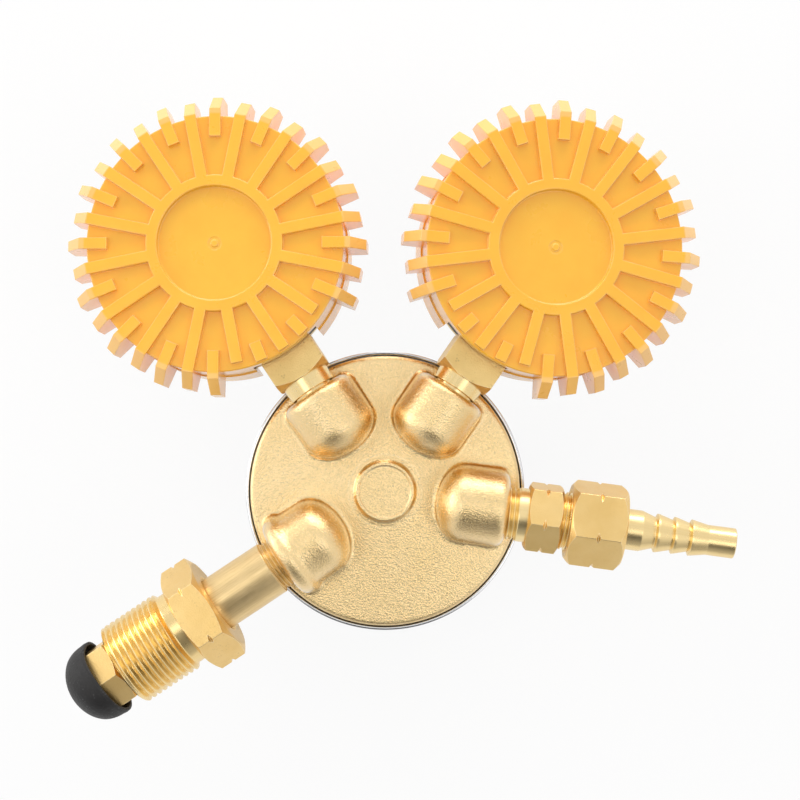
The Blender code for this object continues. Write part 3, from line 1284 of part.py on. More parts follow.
def build_gauge(place_of_gauge, frame):
    """Make one whole gauge."""
    port = place_of_gauge.port
    side = port.name
    gauge = bpy.data.objects.new(side + "_gauge", None)
    place(gauge, frame, (0, 0, place_of_gauge.distance), (0, math.pi / 2, 0))
    cover_frame = bpy.data.objects.new(side + "_cover_frame", None)
    place(cover_frame, gauge, (0, 0, 0), (0, 0, place_of_gauge.cover_turn))
    build_cover(side, cover_frame)
    build_case(side, gauge)
    build_stem(side, place_of_gauge.distance, frame)
    build_pinion(side, gauge)
    build_sector(side, gauge)
    build_movement(side, gauge)
    build_bourdon_tube(side, gauge)


# ================================================================ whole regulator
clear_scene()
PARTS = make_collection("gas_regulator")
TOOLS = make_collection("gas_regulator_tools")
FRAMES = {port.name: port_frame(port) for port in PORTS}

build_body(FRAMES)
build_bonnet()
build_knob()
build_spring_group()
build_valve()
build_inlet(FRAMES["inlet"])
build_outlet(FRAMES["outlet"])
for gauge_place in GAUGES:
    build_gauge(gauge_place, FRAMES[gauge_place.port.name])
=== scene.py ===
"""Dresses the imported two-gauge gas regulator with finer shapes, finishes, light and a camera.

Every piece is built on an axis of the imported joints, so it lies where its solid lies. All lengths are in
metres. A port's own frame has Z out of the port and X up; a gauge's own frame has Z out of its back and X
towards its stem.
"""

import json
import logging
import math
from dataclasses import dataclass, field
from enum import Enum

import bmesh
import bpy
from mathutils import Matrix, Vector


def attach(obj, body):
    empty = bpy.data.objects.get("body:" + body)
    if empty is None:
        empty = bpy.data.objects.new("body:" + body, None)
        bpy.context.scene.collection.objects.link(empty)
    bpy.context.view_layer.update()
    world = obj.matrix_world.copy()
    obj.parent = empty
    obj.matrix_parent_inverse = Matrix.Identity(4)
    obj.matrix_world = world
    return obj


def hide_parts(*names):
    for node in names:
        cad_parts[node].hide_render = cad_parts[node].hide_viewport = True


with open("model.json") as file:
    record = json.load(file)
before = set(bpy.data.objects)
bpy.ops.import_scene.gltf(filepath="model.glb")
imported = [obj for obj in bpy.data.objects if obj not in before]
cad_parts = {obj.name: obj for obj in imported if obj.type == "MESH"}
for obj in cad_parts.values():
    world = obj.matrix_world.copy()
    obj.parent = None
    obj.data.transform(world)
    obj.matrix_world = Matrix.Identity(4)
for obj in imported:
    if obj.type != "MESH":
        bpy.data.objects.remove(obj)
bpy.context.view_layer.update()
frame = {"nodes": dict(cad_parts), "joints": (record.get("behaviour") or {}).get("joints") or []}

LOG = logging.getLogger("regulator")
MM = 0.001
SINK = 0.6 * MM
GAP = 0.3 * MM

Point = tuple[float, float]
Corner = tuple[float, float, float]
Colour = tuple[float, float, float]
Shape = bmesh.types.BMesh
Piece = bpy.types.Object
Finish = bpy.types.Material
Tree = bpy.types.NodeTree
Node = bpy.types.Node
Socket = bpy.types.NodeSocket


class Hand(Enum):
    """Which way a thread winds."""

    LEFT = 1.0
    RIGHT = -1.0


class Side(Enum):
    """Which of the two gauges a piece belongs to."""

    LEFT = "left"
    RIGHT = "right"


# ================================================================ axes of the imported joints
def joint(name: str) -> dict:
    """Find a packed joint.

    Args:
        name: The joint's name in the record.

    Returns:
        The joint's entry.
    """
    return next(entry for entry in frame["joints"] if entry["name"] == name)


def axes(origin: Vector, outward: Vector, up: Vector) -> Matrix:
    """Build a frame from its origin, its Z axis and a direction near its X axis.

    Args:
        origin: The frame's origin.
        outward: The frame's Z axis.
        up: A direction that lies near the frame's X axis.

    Returns:
        The frame as a matrix.
    """
    z = outward.normalized()
    y = z.cross(up).normalized()
    x = y.cross(z)
    turned = Matrix((x, y, z)).transposed().to_4x4()
    return Matrix.Translation(origin) @ turned


def port_axes(joint_name: str) -> Matrix:
    """Return a level port's frame, with its origin beside the main axis.

    Args:
        joint_name: A joint that turns about the port's axis.

    Returns:
        The frame as a matrix.
    """
    entry = joint(joint_name)
    outward = Vector(entry["axis"])
    on_axis = Vector(entry["pos_m"])
    return axes(on_axis - outward * on_axis.dot(outward), outward, Vector((0, 0, 1)))


def gauge_axes(side: Side) -> Matrix:
    """Return a gauge's frame, with its origin on the pointer's shaft.

    Args:
        side: The gauge's side.

    Returns:
        The frame as a matrix.
    """
    pointer = joint(f"{side.value}_pointer_turn")
    sector = joint(f"{side.value}_sector_turn")
    centre = Vector(pointer["pos_m"])
    return axes(centre, Vector(pointer["axis"]), centre - Vector(sector["pos_m"]))


def stem_axes(side: Side) -> Matrix:
    """Return the frame of a gauge's stem: Z runs from the regulator to the gauge's centre."""
    gauge = gauge_axes(side)
    x, z = gauge.col[0].to_3d(), gauge.col[2].to_3d()
    return axes(gauge.translation, -x, z)


# ================================================================ shapes
class Shaper:
    """Makes meshes. Every finished object sits at the origin with its place in its mesh."""

    STEPS = 128

    @staticmethod
    def rounded(corners: list[Corner], segments: int = 4) -> list[Point]:
        """Round the corners of a profile.

        Args:
            corners: (radius, height, corner radius) from the high end down the outer side.
            segments: How many pieces each rounded corner has.

        Returns:
            The profile's points.
        """
        points: list[Point] = []
        last = len(corners) - 1
        for index, (radius, height, fillet) in enumerate(corners):
            here = Vector((radius, height))
            if fillet <= 0 or index in (0, last):
                points.append((radius, height))
                continue
            before = Vector(corners[index - 1][:2]) - here
            after = Vector(corners[index + 1][:2]) - here
            half = before.angle(after) / 2
            cut = min(fillet / max(math.tan(half), 0.05), 0.45 * before.length, 0.45 * after.length)
            start = here + before.normalized() * cut
            end = here + after.normalized() * cut
            for step in range(segments + 1):
                t = step / segments
                spot = start * (1 - t) ** 2 + here * 2 * t * (1 - t) + end * t**2
                points.append((spot.x, spot.y))
        return points

    @staticmethod
    def lathe(profile: list[Point], steps: int = STEPS, loop: bool = False) -> Shape:
        """Turn a profile round Z.

        Args:
            profile: (radius, height) points that run down the outer side.
            steps: How many steps the full turn has.
            loop: Whether the profile closes on itself.

        Returns:
            The turned shape.
        """
        shape = bmesh.new()
        rings = []
        for radius, height in profile:
            if radius < 1e-7:
                rings.append([shape.verts.new((0, 0, height))])
                continue
            turn = math.tau / steps
            round_z = [(radius * math.cos(turn * i), radius * math.sin(turn * i)) for i in range(steps)]
            rings.append([shape.verts.new((x, y, height)) for x, y in round_z])
        pairs = list(zip(rings, rings[1:]))
        if loop:
            pairs.append((rings[-1], rings[0]))
        for upper, lower in pairs:
            for i in range(steps):
                j = (i + 1) % steps
                corners = ((upper, i), (lower, i), (lower, j), (upper, j))
                face = list(dict.fromkeys(ring[k % len(ring)] for ring, k in corners))
                if len(face) > 2:
                    shape.faces.new(face)
        return shape

    @staticmethod
    def prism(outline: list[Point], low: float, high: float) -> Shape:
        """Extrude an outline along Z.

        Args:
            outline: The outline's points, counter-clockwise.
            low: The lower face's height.
            high: The upper face's height.

        Returns:
            The extruded shape.
        """
        shape = bmesh.new()
        bottom = [shape.verts.new((x, y, low)) for x, y in outline]
        top = [shape.verts.new((x, y, high)) for x, y in outline]
        shape.faces.new(bottom[::-1])
        shape.faces.new(top)
        count = len(outline)
        for i in range(count):
            j = (i + 1) % count
            shape.faces.new((bottom[i], bottom[j], top[j], top[i]))
        bmesh.ops.recalc_face_normals(shape, faces=shape.faces)
        return shape

    @staticmethod
    def bevel_edges(shape: Shape, width: float, segments: int = 2, angle: float = 20.0) -> None:
        """Round the edges of a shape that are sharper than an angle.

        Args:
            shape: The shape to change.
            width: The rounding's width.
            segments: How many pieces the rounding has.
            angle: Edges flatter than this, in degrees, stay.
        """
        limit = math.radians(angle)
        edges = [e for e in shape.edges if len(e.link_faces) == 2 and e.calc_face_angle(0) > limit]
        shares = {"segments": segments, "profile": 0.6, "clamp_overlap": True}
        bmesh.ops.bevel(shape, geom=edges, offset=width, affect="EDGES", **shares)

    @staticmethod
    def polygon(sides: int, across_flats: float, turn: float = 0.0) -> list[Point]:
        """Return a regular polygon's corners, with a flat square to +X before the turn."""
        corner = across_flats / 2 / math.cos(math.pi / sides)
        step = math.tau / sides
        angles = [turn + (i + 0.5) * step for i in range(sides)]
        return [(corner * math.cos(a), corner * math.sin(a)) for a in angles]

    @staticmethod
    def piece(name: str, shape: Shape, place: Matrix | None = None) -> Piece:
        """Make an object of a shape, set down in the regulator's frame.

        Args:
            name: The object's name.
            shape: The shape, which is freed.
            place: The frame that the shape was drawn in.

        Returns:
            The object, at the origin.
        """
        if place is not None:
            shape.transform(place)
        mesh = bpy.data.meshes.new(name)
        shape.to_mesh(mesh)
        shape.free()
        made = bpy.data.objects.new(name, mesh)
        bpy.context.scene.collection.objects.link(made)
        return made

    @classmethod
    def turned(
        cls, name: str, corners: list[Corner], steps: int, loop: bool = False, segments: int = 4
    ) -> Piece:
        """Turn a profile with rounded corners into an object.

        Args:
            name: The object's name.
            corners: The profile's corners, as rounded takes them.
            steps: How many steps the full turn has.
            loop: Whether the profile closes on itself.
            segments: How many pieces each rounded corner has.

        Returns:
            The object.
        """
        return cls.piece(name, cls.lathe(cls.rounded(corners, segments), steps, loop))

    @staticmethod
    def settle(made: Piece) -> Piece:
        """Turn an object's modifiers into plain mesh and remove them."""
        bpy.context.view_layer.update()
        evaluated = made.evaluated_get(bpy.context.evaluated_depsgraph_get())
        mesh = bpy.data.meshes.new_from_object(evaluated)
        made.modifiers.clear()
        made.data = mesh
        return made

    @classmethod
    def combine(cls, made: Piece, tool: Piece, operation: str) -> Piece:
        """Join, cut or intersect an object with a tool, which is then removed.

        Args:
            made: The object to change.
            tool: The other shape.
            operation: UNION, DIFFERENCE or INTERSECT.

        Returns:
            The changed object.
        """
        modifier = made.modifiers.new("combine", "BOOLEAN")
        modifier.operation = operation
        modifier.solver = "EXACT"
        modifier.object = tool
        cls.settle(made)
        bpy.data.objects.remove(tool)
        return made

    @classmethod
    def cut_flats(cls, made: Piece, outline: list[Point], span: Point, edge: float) -> Piece:
        """Cut a turned blank to the flats of an upright bar.

        Args:
            made: The blank.
            outline: The bar's section.
            span: The blank's low and high end.
            edge: How far the bar's edges are rounded.

        Returns:
            The cut piece.
        """
        bar = cls.prism(outline, span[0] - 2 * MM, span[1] + 2 * MM)
        upright = [e for e in bar.edges if abs(e.verts[0].co.z - e.verts[1].co.z) > MM]
        bmesh.ops.bevel(bar, geom=upright, offset=edge, segments=3, profile=0.5, affect="EDGES")
        return cls.combine(made, cls.piece("bar", bar), "INTERSECT")

    @classmethod
    def drill(
        cls, made: Piece, radius: float, span: Point, steps: int = 96, aim: Matrix | None = None
    ) -> Piece:
        """Drill a round hole along Z.

        Args:
            made: The piece to drill.
            radius: The hole's radius.
            span: Where the hole starts and ends.
            steps: How many steps the full turn has.
            aim: Another frame, whose Z the hole follows.

        Returns:
            The drilled piece.
        """
        low, high = span
        bit = cls.lathe([(0, high), (radius, high), (radius, low), (0, low)], steps)
        return cls.combine(made, cls.piece("bit", bit, aim), "DIFFERENCE")

    @staticmethod
    def join(made: Piece, *others: Piece) -> Piece:
        """Put other objects' meshes into one object."""
        shape = bmesh.new()
        shape.from_mesh(made.data)
        for other in others:
            shape.from_mesh(other.data)
            bpy.data.objects.remove(other)
        shape.to_mesh(made.data)
        shape.free()
        return made

    @staticmethod
    def smooth(made: Piece, angle: float = 32.0) -> Piece:
        """Shade an object smooth, but for edges sharper than an angle in degrees."""
        mesh = made.data
        mesh.polygons.foreach_set("use_smooth", [True] * len(mesh.polygons))
        mesh.set_sharp_from_angle(angle=math.radians(angle))
        mesh.update()
        flatter = made.modifiers.new("flatter", "WEIGHTED_NORMAL")
        flatter.keep_sharp = True
        return Shaper.settle(made)


# ================================================================ node trees
class Sheet:
    """Adds and joins nodes in one tree."""

    def __init__(self, tree: Tree) -> None:
        """Keep the tree to work on."""
        self.tree = tree

    def add(self, kind: str, settings: dict | None = None, **inputs: object) -> Node:
        """Add a node.

        Args:
            kind: The node's type name.
            settings: Attributes to set on it.
            inputs: Values or output sockets for its inputs, with underscores for spaces.

        Returns:
            The node.
        """
        node = self.tree.nodes.new(kind)
        for name, value in (settings or {}).items():
            setattr(node, name, value)
        for name, value in inputs.items():
            self.put(value, node.inputs[name.replace("_", " ")])
        return node

    def put(self, value: object, socket: Socket) -> None:
        """Join an output to an input, or set the input's value."""
        if isinstance(value, Socket):
            self.tree.links.new(value, socket)
        else:
            socket.default_value = value

    def math(self, operation: str, *operands: object) -> Socket:
        """Add a Math node and return its result."""
        node = self.add("ShaderNodeMath", {"operation": operation})
        for socket, operand in zip(node.inputs, operands):
            self.put(operand, socket)
        return node.outputs[0]

    def product(self, *factors: object) -> Socket:
        """Multiply two or more values."""
        result = self.math("MULTIPLY", *factors[:2])
        for factor in factors[2:]:
            result = self.math("MULTIPLY", result, factor)
        return result

    def polar(self, vector: Socket) -> tuple[Node, Socket, Socket]:
        """Split a vector into its parts, its distance from Z and its angle about Z."""
        split = self.add("ShaderNodeSeparateXYZ", Vector=vector)
        x, y = split.outputs["X"], split.outputs["Y"]
        square = self.math("ADD", self.product(x, x), self.product(y, y))
        return split, self.math("SQRT", square), self.math("ARCTAN2", y, x)

    def remap(self, value: Socket, source: Point, target: Point) -> Socket:
        """Map a range of values onto another, held within it.

        Args:
            value: The value to map.
            source: The lowest and highest value that comes in.
            target: The two values they become.

        Returns:
            The mapped value.
        """
        node = self.add("ShaderNodeMapRange")
        self.put(value, node.inputs["Value"])
        for name, number in zip(("From Min", "From Max", "To Min", "To Max"), (*source, *target)):
            node.inputs[name].default_value = number
        return node.outputs["Result"]

    def tint(self, share: object, first: object, second: object) -> Socket:
        """Mix two colours.

        Args:
            share: The second colour's share.
            first: A colour or a colour output.
            second: A colour or a colour output.

        Returns:
            The mixed colour.
        """
        node = self.add("ShaderNodeMix", {"data_type": "RGBA"})
        self.put(share, node.inputs[0])
        for value, socket in ((first, node.inputs[6]), (second, node.inputs[7])):
            self.put((*value, 1.0) if isinstance(value, tuple) else value, socket)
        return node.outputs[2]

    def noise(self, vector: object, size: object, detail: float = 3.0, rough: float = 0.5) -> Socket:
        """Add a noise pattern and return its value.

        Args:
            vector: The place to read it at.
            size: The size of its features in metres, or an output socket with it.
            detail: How many finer layers it has.
            rough: How strong the finer layers are.

        Returns:
            The pattern's value.
        """
        scale = self.math("DIVIDE", 1.0, size)
        node = self.add("ShaderNodeTexNoise", Vector=vector, Scale=scale, Detail=detail, Roughness=rough)
        return node.outputs[0]


class Rules:
    """Geometry node trees for shapes that repeat or follow a rule."""

    GROOVE_SLOPE = 2.3
    GROOVE_SOFTNESS = 0.12
    RUNOUT_PITCHES = 0.5
    FLUTE_SHARE = 0.15
    FLUTE_SWELL = 1.18
    FLUTE_POWER = 0.8
    LEAST_DISTANCE = 1e-6

    def __init__(self) -> None:
        """Build the trees once."""
        self.ring = self._ring_tree()
        self.thread = self._thread_tree()
        self.flutes = self._flute_tree()

    @staticmethod
    def _start(name: str, floats: tuple[str, ...], counts: tuple[str, ...] = ()) -> tuple[Sheet, Node, Node]:
        """Start a tree with a geometry input and output and a material input.

        Args:
            name: The tree's name.
            floats: The names of its decimal inputs.
            counts: The names of its whole-number inputs.

        Returns:
            The tree's sheet, its input node and its output node.
        """
        tree = bpy.data.node_groups.new(name, "GeometryNodeTree")
        kinds = {"Geometry": "Geometry", **dict.fromkeys(floats, "Float"), **dict.fromkeys(counts, "Int")}
        for label, kind in {**kinds, "Finish": "Material"}.items():
            tree.interface.new_socket(label, in_out="INPUT", socket_type=f"NodeSocket{kind}")
        tree.interface.new_socket("Geometry", in_out="OUTPUT", socket_type="NodeSocketGeometry")
        return Sheet(tree), tree.nodes.new("NodeGroupInput"), tree.nodes.new("NodeGroupOutput")

    @staticmethod
    def _finish(sheet: Sheet, made: Node, start: Node, end: Node) -> Tree:
        """Make a tree's result real, give it its material and return the tree."""
        real = sheet.add("GeometryNodeRealizeInstances", Geometry=made.outputs[0])
        material = start.outputs["Finish"]
        finish = sheet.add("GeometryNodeSetMaterial", Geometry=real.outputs[0], Material=material)
        sheet.put(finish.outputs[0], end.inputs[0])
        return sheet.tree

    def _ring_tree(self) -> Tree:
        """Build the tree that sets copies of a shape round Z."""
        sheet, start, end = self._start("copies_round_z", ("First Angle", "Angle Step"), ("Count",))
        points = sheet.add("GeometryNodePoints", Count=start.outputs["Count"])
        index = sheet.add("GeometryNodeInputIndex")
        turned = sheet.product(index.outputs[0], start.outputs["Angle Step"])
        angle = sheet.math("ADD", turned, start.outputs["First Angle"])
        turn = sheet.add("ShaderNodeCombineXYZ", Z=angle)
        copies = sheet.add("GeometryNodeInstanceOnPoints", Points=points.outputs[0], Rotation=turn.outputs[0])
        sheet.put(start.outputs["Geometry"], copies.inputs["Instance"])
        return self._finish(sheet, copies, start, end)

    def _pressed(
        self, sheet: Sheet, inward: Socket, parts: tuple[Node, Socket], ends: tuple[Node, Node]
    ) -> Tree:
        """Finish a tree that moves points towards Z.

        Args:
            sheet: The tree's sheet.
            inward: How far each point moves towards the axis.
            parts: The node with the position's parts, and each point's radius.
            ends: The tree's input and output nodes.

        Returns:
            The tree.
        """
        split, radius = parts
        start, end = ends
        share = sheet.math("DIVIDE", inward, sheet.math("MAXIMUM", radius, self.LEAST_DISTANCE))
        moved = {name: sheet.product(split.outputs[name], share, -1.0) for name in ("X", "Y")}
        shift = sheet.add("ShaderNodeCombineXYZ", **moved)
        shape = start.outputs["Geometry"]
        move = sheet.add("GeometryNodeSetPosition", Geometry=shape, Offset=shift.outputs[0])
        return self._finish(sheet, move, start, end)

    def _thread_tree(self) -> Tree:
        """Build the tree that cuts a helical V groove into a turned blank."""
        names = ("Pitch", "Depth", "Hand", "Low", "High", "Least Radius")
        sheet, start, end = self._start("helical_groove", names)
        pitch, depth, hand, low, high, least = (start.outputs[name] for name in names)
        split, radius, angle = sheet.polar(sheet.add("GeometryNodeInputPosition").outputs[0])
        along = split.outputs["Z"]
        part = sheet.product(sheet.math("DIVIDE", angle, math.tau), hand)
        phase = sheet.math("FRACT", sheet.math("ADD", sheet.math("DIVIDE", along, pitch), part))
        from_middle = sheet.math("ABSOLUTE", sheet.math("SUBTRACT", phase, 0.5))
        groove = sheet.math("SUBTRACT", 1.0, sheet.product(from_middle, self.GROOVE_SLOPE))
        groove = sheet.math("SMOOTH_MAX", groove, 0.0, self.GROOVE_SOFTNESS)
        above, below = sheet.math("SUBTRACT", along, low), sheet.math("SUBTRACT", high, along)
        nearest = sheet.math("MINIMUM", above, below)
        runout = sheet.math("DIVIDE", nearest, sheet.product(pitch, self.RUNOUT_PITCHES))
        runout = sheet.math("MINIMUM", sheet.math("MAXIMUM", runout, 0.0), 1.0)
        outer = sheet.math("GREATER_THAN", radius, least)
        inward = sheet.product(groove, depth, runout, outer)
        return self._pressed(sheet, inward, (split, radius), (start, end))

    def _flute_tree(self) -> Tree:
        """Build the tree that presses rounded flutes into a knob's rim."""
        names = ("Flutes", "Depth", "Least Radius")
        sheet, start, end = self._start("rim_flutes", names)
        flutes, depth, least = (start.outputs[name] for name in names)
        split, radius, angle = sheet.polar(sheet.add("GeometryNodeInputPosition").outputs[0])
        wave = sheet.math("COSINE", sheet.product(angle, flutes))
        swell = sheet.product(sheet.math("ADD", wave, -self.FLUTE_SHARE), self.FLUTE_SWELL)
        bump = sheet.math("POWER", sheet.math("MAXIMUM", swell, 0.0), self.FLUTE_POWER)
        outer = sheet.math("GREATER_THAN", radius, least)
        return self._pressed(sheet, sheet.product(bump, depth, outer), (split, radius), (start, end))

    @staticmethod
    def apply(made: Piece, tree: Tree, name: str, **values: float) -> Piece:
        """Run a tree on an object and keep the result as plain mesh.

        Args:
            made: The object, drawn about its own Z.
            tree: The tree to run.
            name: The name of the plain material that the result gets.
            values: The tree's inputs, with underscores for spaces.

        Returns:
            The same object with the new mesh.
        """
        modifier = made.modifiers.new(tree.name, "NODES")
        modifier.node_group = tree
        items = [item for item in tree.interface.items_tree if getattr(item, "in_out", "") == "INPUT"]
        sockets = {item.name: item.identifier for item in items}
        for label, value in values.items():
            modifier[sockets[label.replace("_", " ").title()]] = value
        modifier[sockets["Finish"]] = bpy.data.materials.get(name) or bpy.data.materials.new(name)
        return Shaper.settle(made)


# ================================================================ shared shader effects
class SharedEffects:
    """The shader node groups that several finishes use."""

    def __init__(self) -> None:
        """Build each group once."""
        self.grain = self._grain()
        self.marks = self._turning_marks()
        self.wear_and_sheen = self._edge_wear_and_sheen()
        self.handling = self._handling()
        self.specks = self._specks()

    @staticmethod
    def _group(name: str, inputs: tuple[str, ...], outputs: tuple[str, ...]) -> tuple[Sheet, Node, Node]:
        """Start a group that reads a place.

        Args:
            name: The group's name.
            inputs: The names of its other inputs.
            outputs: The names of its values.

        Returns:
            The group's sheet, its input node and its output node.
        """
        tree = bpy.data.node_groups.new(name, "ShaderNodeTree")
        tree.interface.new_socket("Vector", in_out="INPUT", socket_type="NodeSocketVector")
        for label in inputs:
            tree.interface.new_socket(label, in_out="INPUT", socket_type="NodeSocketFloat")
        for label in outputs:
            tree.interface.new_socket(label, in_out="OUTPUT", socket_type="NodeSocketFloat")
        return Sheet(tree), tree.nodes.new("NodeGroupInput"), tree.nodes.new("NodeGroupOutput")

    def _grain(self) -> Tree:
        """Build the pebbly grain of a blasted or moulded surface, with a slow change of tone."""
        sheet, start, end = self._group("surface_grain", ("Size",), ("Height", "Tone"))
        place, size = start.outputs["Vector"], start.outputs["Size"]
        coarse = sheet.noise(place, size, 2.0, 0.5)
        fine = sheet.noise(place, sheet.product(size, 0.42), 2.0, 0.6)
        height = sheet.math("ADD", sheet.product(coarse, 0.65), sheet.product(fine, 0.35))
        tone = sheet.noise(place, sheet.product(size, 26.0), 3.0, 0.6)
        sheet.put(sheet.remap(height, (0.25, 0.75), (0.0, 1.0)), end.inputs["Height"])
        sheet.put(sheet.remap(tone, (0.3, 0.7), (0.0, 1.0)), end.inputs["Tone"])
        return sheet.tree

    def _turning_marks(self) -> Tree:
        """Build the fine rings that a lathe leaves round a piece's own Z axis."""
        sheet, start, end = self._group("turning_marks", ("Pitch",), ("Height", "Streak"))
        split, radius, turn = sheet.polar(start.outputs["Vector"])
        along = sheet.math("ADD", split.outputs["Z"], radius)
        line = sheet.add("ShaderNodeCombineXYZ", X=along, Y=sheet.product(turn, 0.0004))
        rings = sheet.noise(line.outputs[0], start.outputs["Pitch"], 3.0, 0.7)
        broad = sheet.noise(line.outputs[0], sheet.product(start.outputs["Pitch"], 9.0), 2.0, 0.6)
        long, wide = sheet.product(along, 0.04), sheet.product(turn, 0.0075)
        across = sheet.add("ShaderNodeCombineXYZ", X=long, Y=wide)
        streak = sheet.noise(across.outputs[0], sheet.product(start.outputs["Pitch"], 3.0), 4.0, 0.65)
        mixed = sheet.math("ADD", sheet.product(rings, 0.6), sheet.product(broad, 0.4))
        sheet.put(mixed, end.inputs["Height"])
        sheet.put(sheet.remap(streak, (0.35, 0.65), (0.0, 1.0)), end.inputs["Streak"])
        return sheet.tree

    def _edge_wear_and_sheen(self) -> Tree:
        """Build a mask of the outer edges, broken up by noise: edge wear on brass, painted sheen on plastic.
        """
        sheet, start, end = self._group("edge_wear_and_sheen", ("Width",), ("Mask",))
        bevel = sheet.add("ShaderNodeBevel", {"samples": 4}, Radius=start.outputs["Width"])
        geometry = sheet.add("ShaderNodeNewGeometry")
        dot = sheet.add("ShaderNodeVectorMath", {"operation": "DOT_PRODUCT"})
        sheet.put(bevel.outputs[0], dot.inputs[0])
        sheet.put(geometry.outputs["Normal"], dot.inputs[1])
        edge = sheet.remap(dot.outputs["Value"], (0.999, 0.93), (0.0, 1.0))
        broken = sheet.noise(start.outputs["Vector"], 0.0012, 3.0, 0.7)
        sheet.put(sheet.product(edge, sheet.remap(broken, (0.3, 0.6), (0.25, 1.0))), end.inputs["Mask"])
        return sheet.tree

    def _handling(self) -> Tree:
        """Build the soft smudges that change a surface's gloss."""
        sheet, start, end = self._group("handling", (), ("Mask",))
        broad = sheet.noise(start.outputs["Vector"], 0.014, 5.0, 0.62)
        sheet.put(sheet.remap(broad, (0.38, 0.66), (0.0, 1.0)), end.inputs["Mask"])
        return sheet.tree

    def _specks(self) -> Tree:
        """Build small scattered spots, as tarnish or dust leaves."""
        sheet, start, end = self._group("specks", ("Spacing",), ("Mask",))
        place, spacing = start.outputs["Vector"], start.outputs["Spacing"]
        scale = sheet.math("DIVIDE", 1.0, spacing)
        cells = sheet.add("ShaderNodeTexVoronoi", {"feature": "F1"}, Vector=place, Scale=scale)
        patch = sheet.noise(place, sheet.product(spacing, 4.0), 2.0, 0.5)
        dots = sheet.remap(cells.outputs["Distance"], (0.16, 0.34), (1.0, 0.0))
        sheet.put(sheet.product(dots, sheet.remap(patch, (0.48, 0.62), (0.0, 1.0))), end.inputs["Mask"])
        return sheet.tree


EFFECTS = SharedEffects()
RULES = Rules()
WORLD_AXES = Matrix.Identity(4)


class Coat:
    """A material while it is being made."""

    def __init__(self, name: str, place: Matrix) -> None:
        """Start a material.

        Args:
            name: The material's name.
            place: The frame that its patterns follow.
        """
        self.material = bpy.data.materials.new(name)
        self.material.use_nodes = True
        self.sheet = Sheet(self.material.node_tree)
        self.shader = self.material.node_tree.nodes["Principled BSDF"]
        coordinates = self.sheet.add("ShaderNodeTexCoord")
        mapping = self.sheet.add("ShaderNodeMapping", {"vector_type": "TEXTURE"})
        self.sheet.put(coordinates.outputs["Object"], mapping.inputs["Vector"])
        mapping.inputs["Location"].default_value = place.translation
        mapping.inputs["Rotation"].default_value = place.to_euler()
        self.place = mapping.outputs[0]

    def effect(self, group: Tree, **inputs: object) -> Node:
        """Place a shared group that reads this material's coordinates.

        Args:
            group: The shared group.
            inputs: Its other inputs.

        Returns:
            The group's node.
        """
        node = self.sheet.add("ShaderNodeGroup", {"node_tree": group})
        self.sheet.put(self.place, node.inputs["Vector"])
        for name, value in inputs.items():
            self.sheet.put(value, node.inputs[name])
        return node

    def set(self, name: str, value: object) -> None:
        """Set or join one of the shader's inputs."""
        self.sheet.put((*value, 1.0) if isinstance(value, tuple) else value, self.shader.inputs[name])

    def blend(self, mask: Socket, share: float, first: object, second: object) -> Socket:
        """Mix a second colour into a first, up to a share, where a mask is high.

        Args:
            mask: Where the second colour lies.
            share: The most of it that there is.
            first: A colour or a colour output.
            second: A colour or a colour output.

        Returns:
            The mixed colour.
        """
        return self.sheet.tint(self.sheet.product(mask, share), first, second)

    def roughen(self, mask: Socket, least: float, most: float) -> None:
        """Let a mask change the roughness from its least to its most."""
        self.set("Roughness", self.sheet.remap(mask, (0.0, 1.0), (least, most)))

    def bump(self, height: Socket, depth: float, strength: float = 1.0) -> None:
        """Give the surface a relief.

        Args:
            height: The relief's pattern, from 0 to 1.
            depth: The relief's depth in metres.
            strength: How strongly it shows.
        """
        node = self.sheet.add("ShaderNodeBump", Height=height, Distance=depth, Strength=strength)
        self.sheet.put(node.outputs[0], self.shader.inputs["Normal"])


# ================================================================ finishes
@dataclass(frozen=True)
class BlastedBrass:
    """Forged brass with a shot-blasted skin."""

    colour: Colour = (0.94, 0.705, 0.37)
    shade: Colour = (0.87, 0.61, 0.24)
    roughness: float = 0.22
    grain: float = 0.55 * MM
    depth: float = 0.105 * MM

    def coat(self, name: str, place: Matrix = WORLD_AXES) -> Finish:
        """Make the material."""
        coat = Coat(name, place)
        grain = coat.effect(EFFECTS.grain, Size=self.grain)
        worn_and_sheen = coat.effect(EFFECTS.wear_and_sheen, Width=0.5 * MM)
        colour = coat.blend(grain.outputs["Tone"], 0.35, self.colour, self.shade)
        # Painted shade: the low pits of the grain are darkened towards the shade colour.
        pit_shade = coat.sheet.remap(grain.outputs["Height"], (0.05, 0.55), (0.45, 0.0))
        colour = coat.sheet.tint(pit_shade, colour, self.shade)
        coat.set("Base Color", coat.blend(worn_and_sheen.outputs["Mask"], 0.5, colour, (0.98, 0.84, 0.58)))
        coat.roughen(grain.outputs["Height"], self.roughness + 0.1, self.roughness - 0.06)
        coat.set("Metallic", 1.0)
        coat.set("Coat Weight", 0.8)
        coat.set("Coat Roughness", 0.25)
        coat.bump(grain.outputs["Height"], self.depth, 1.0)
        return coat.material


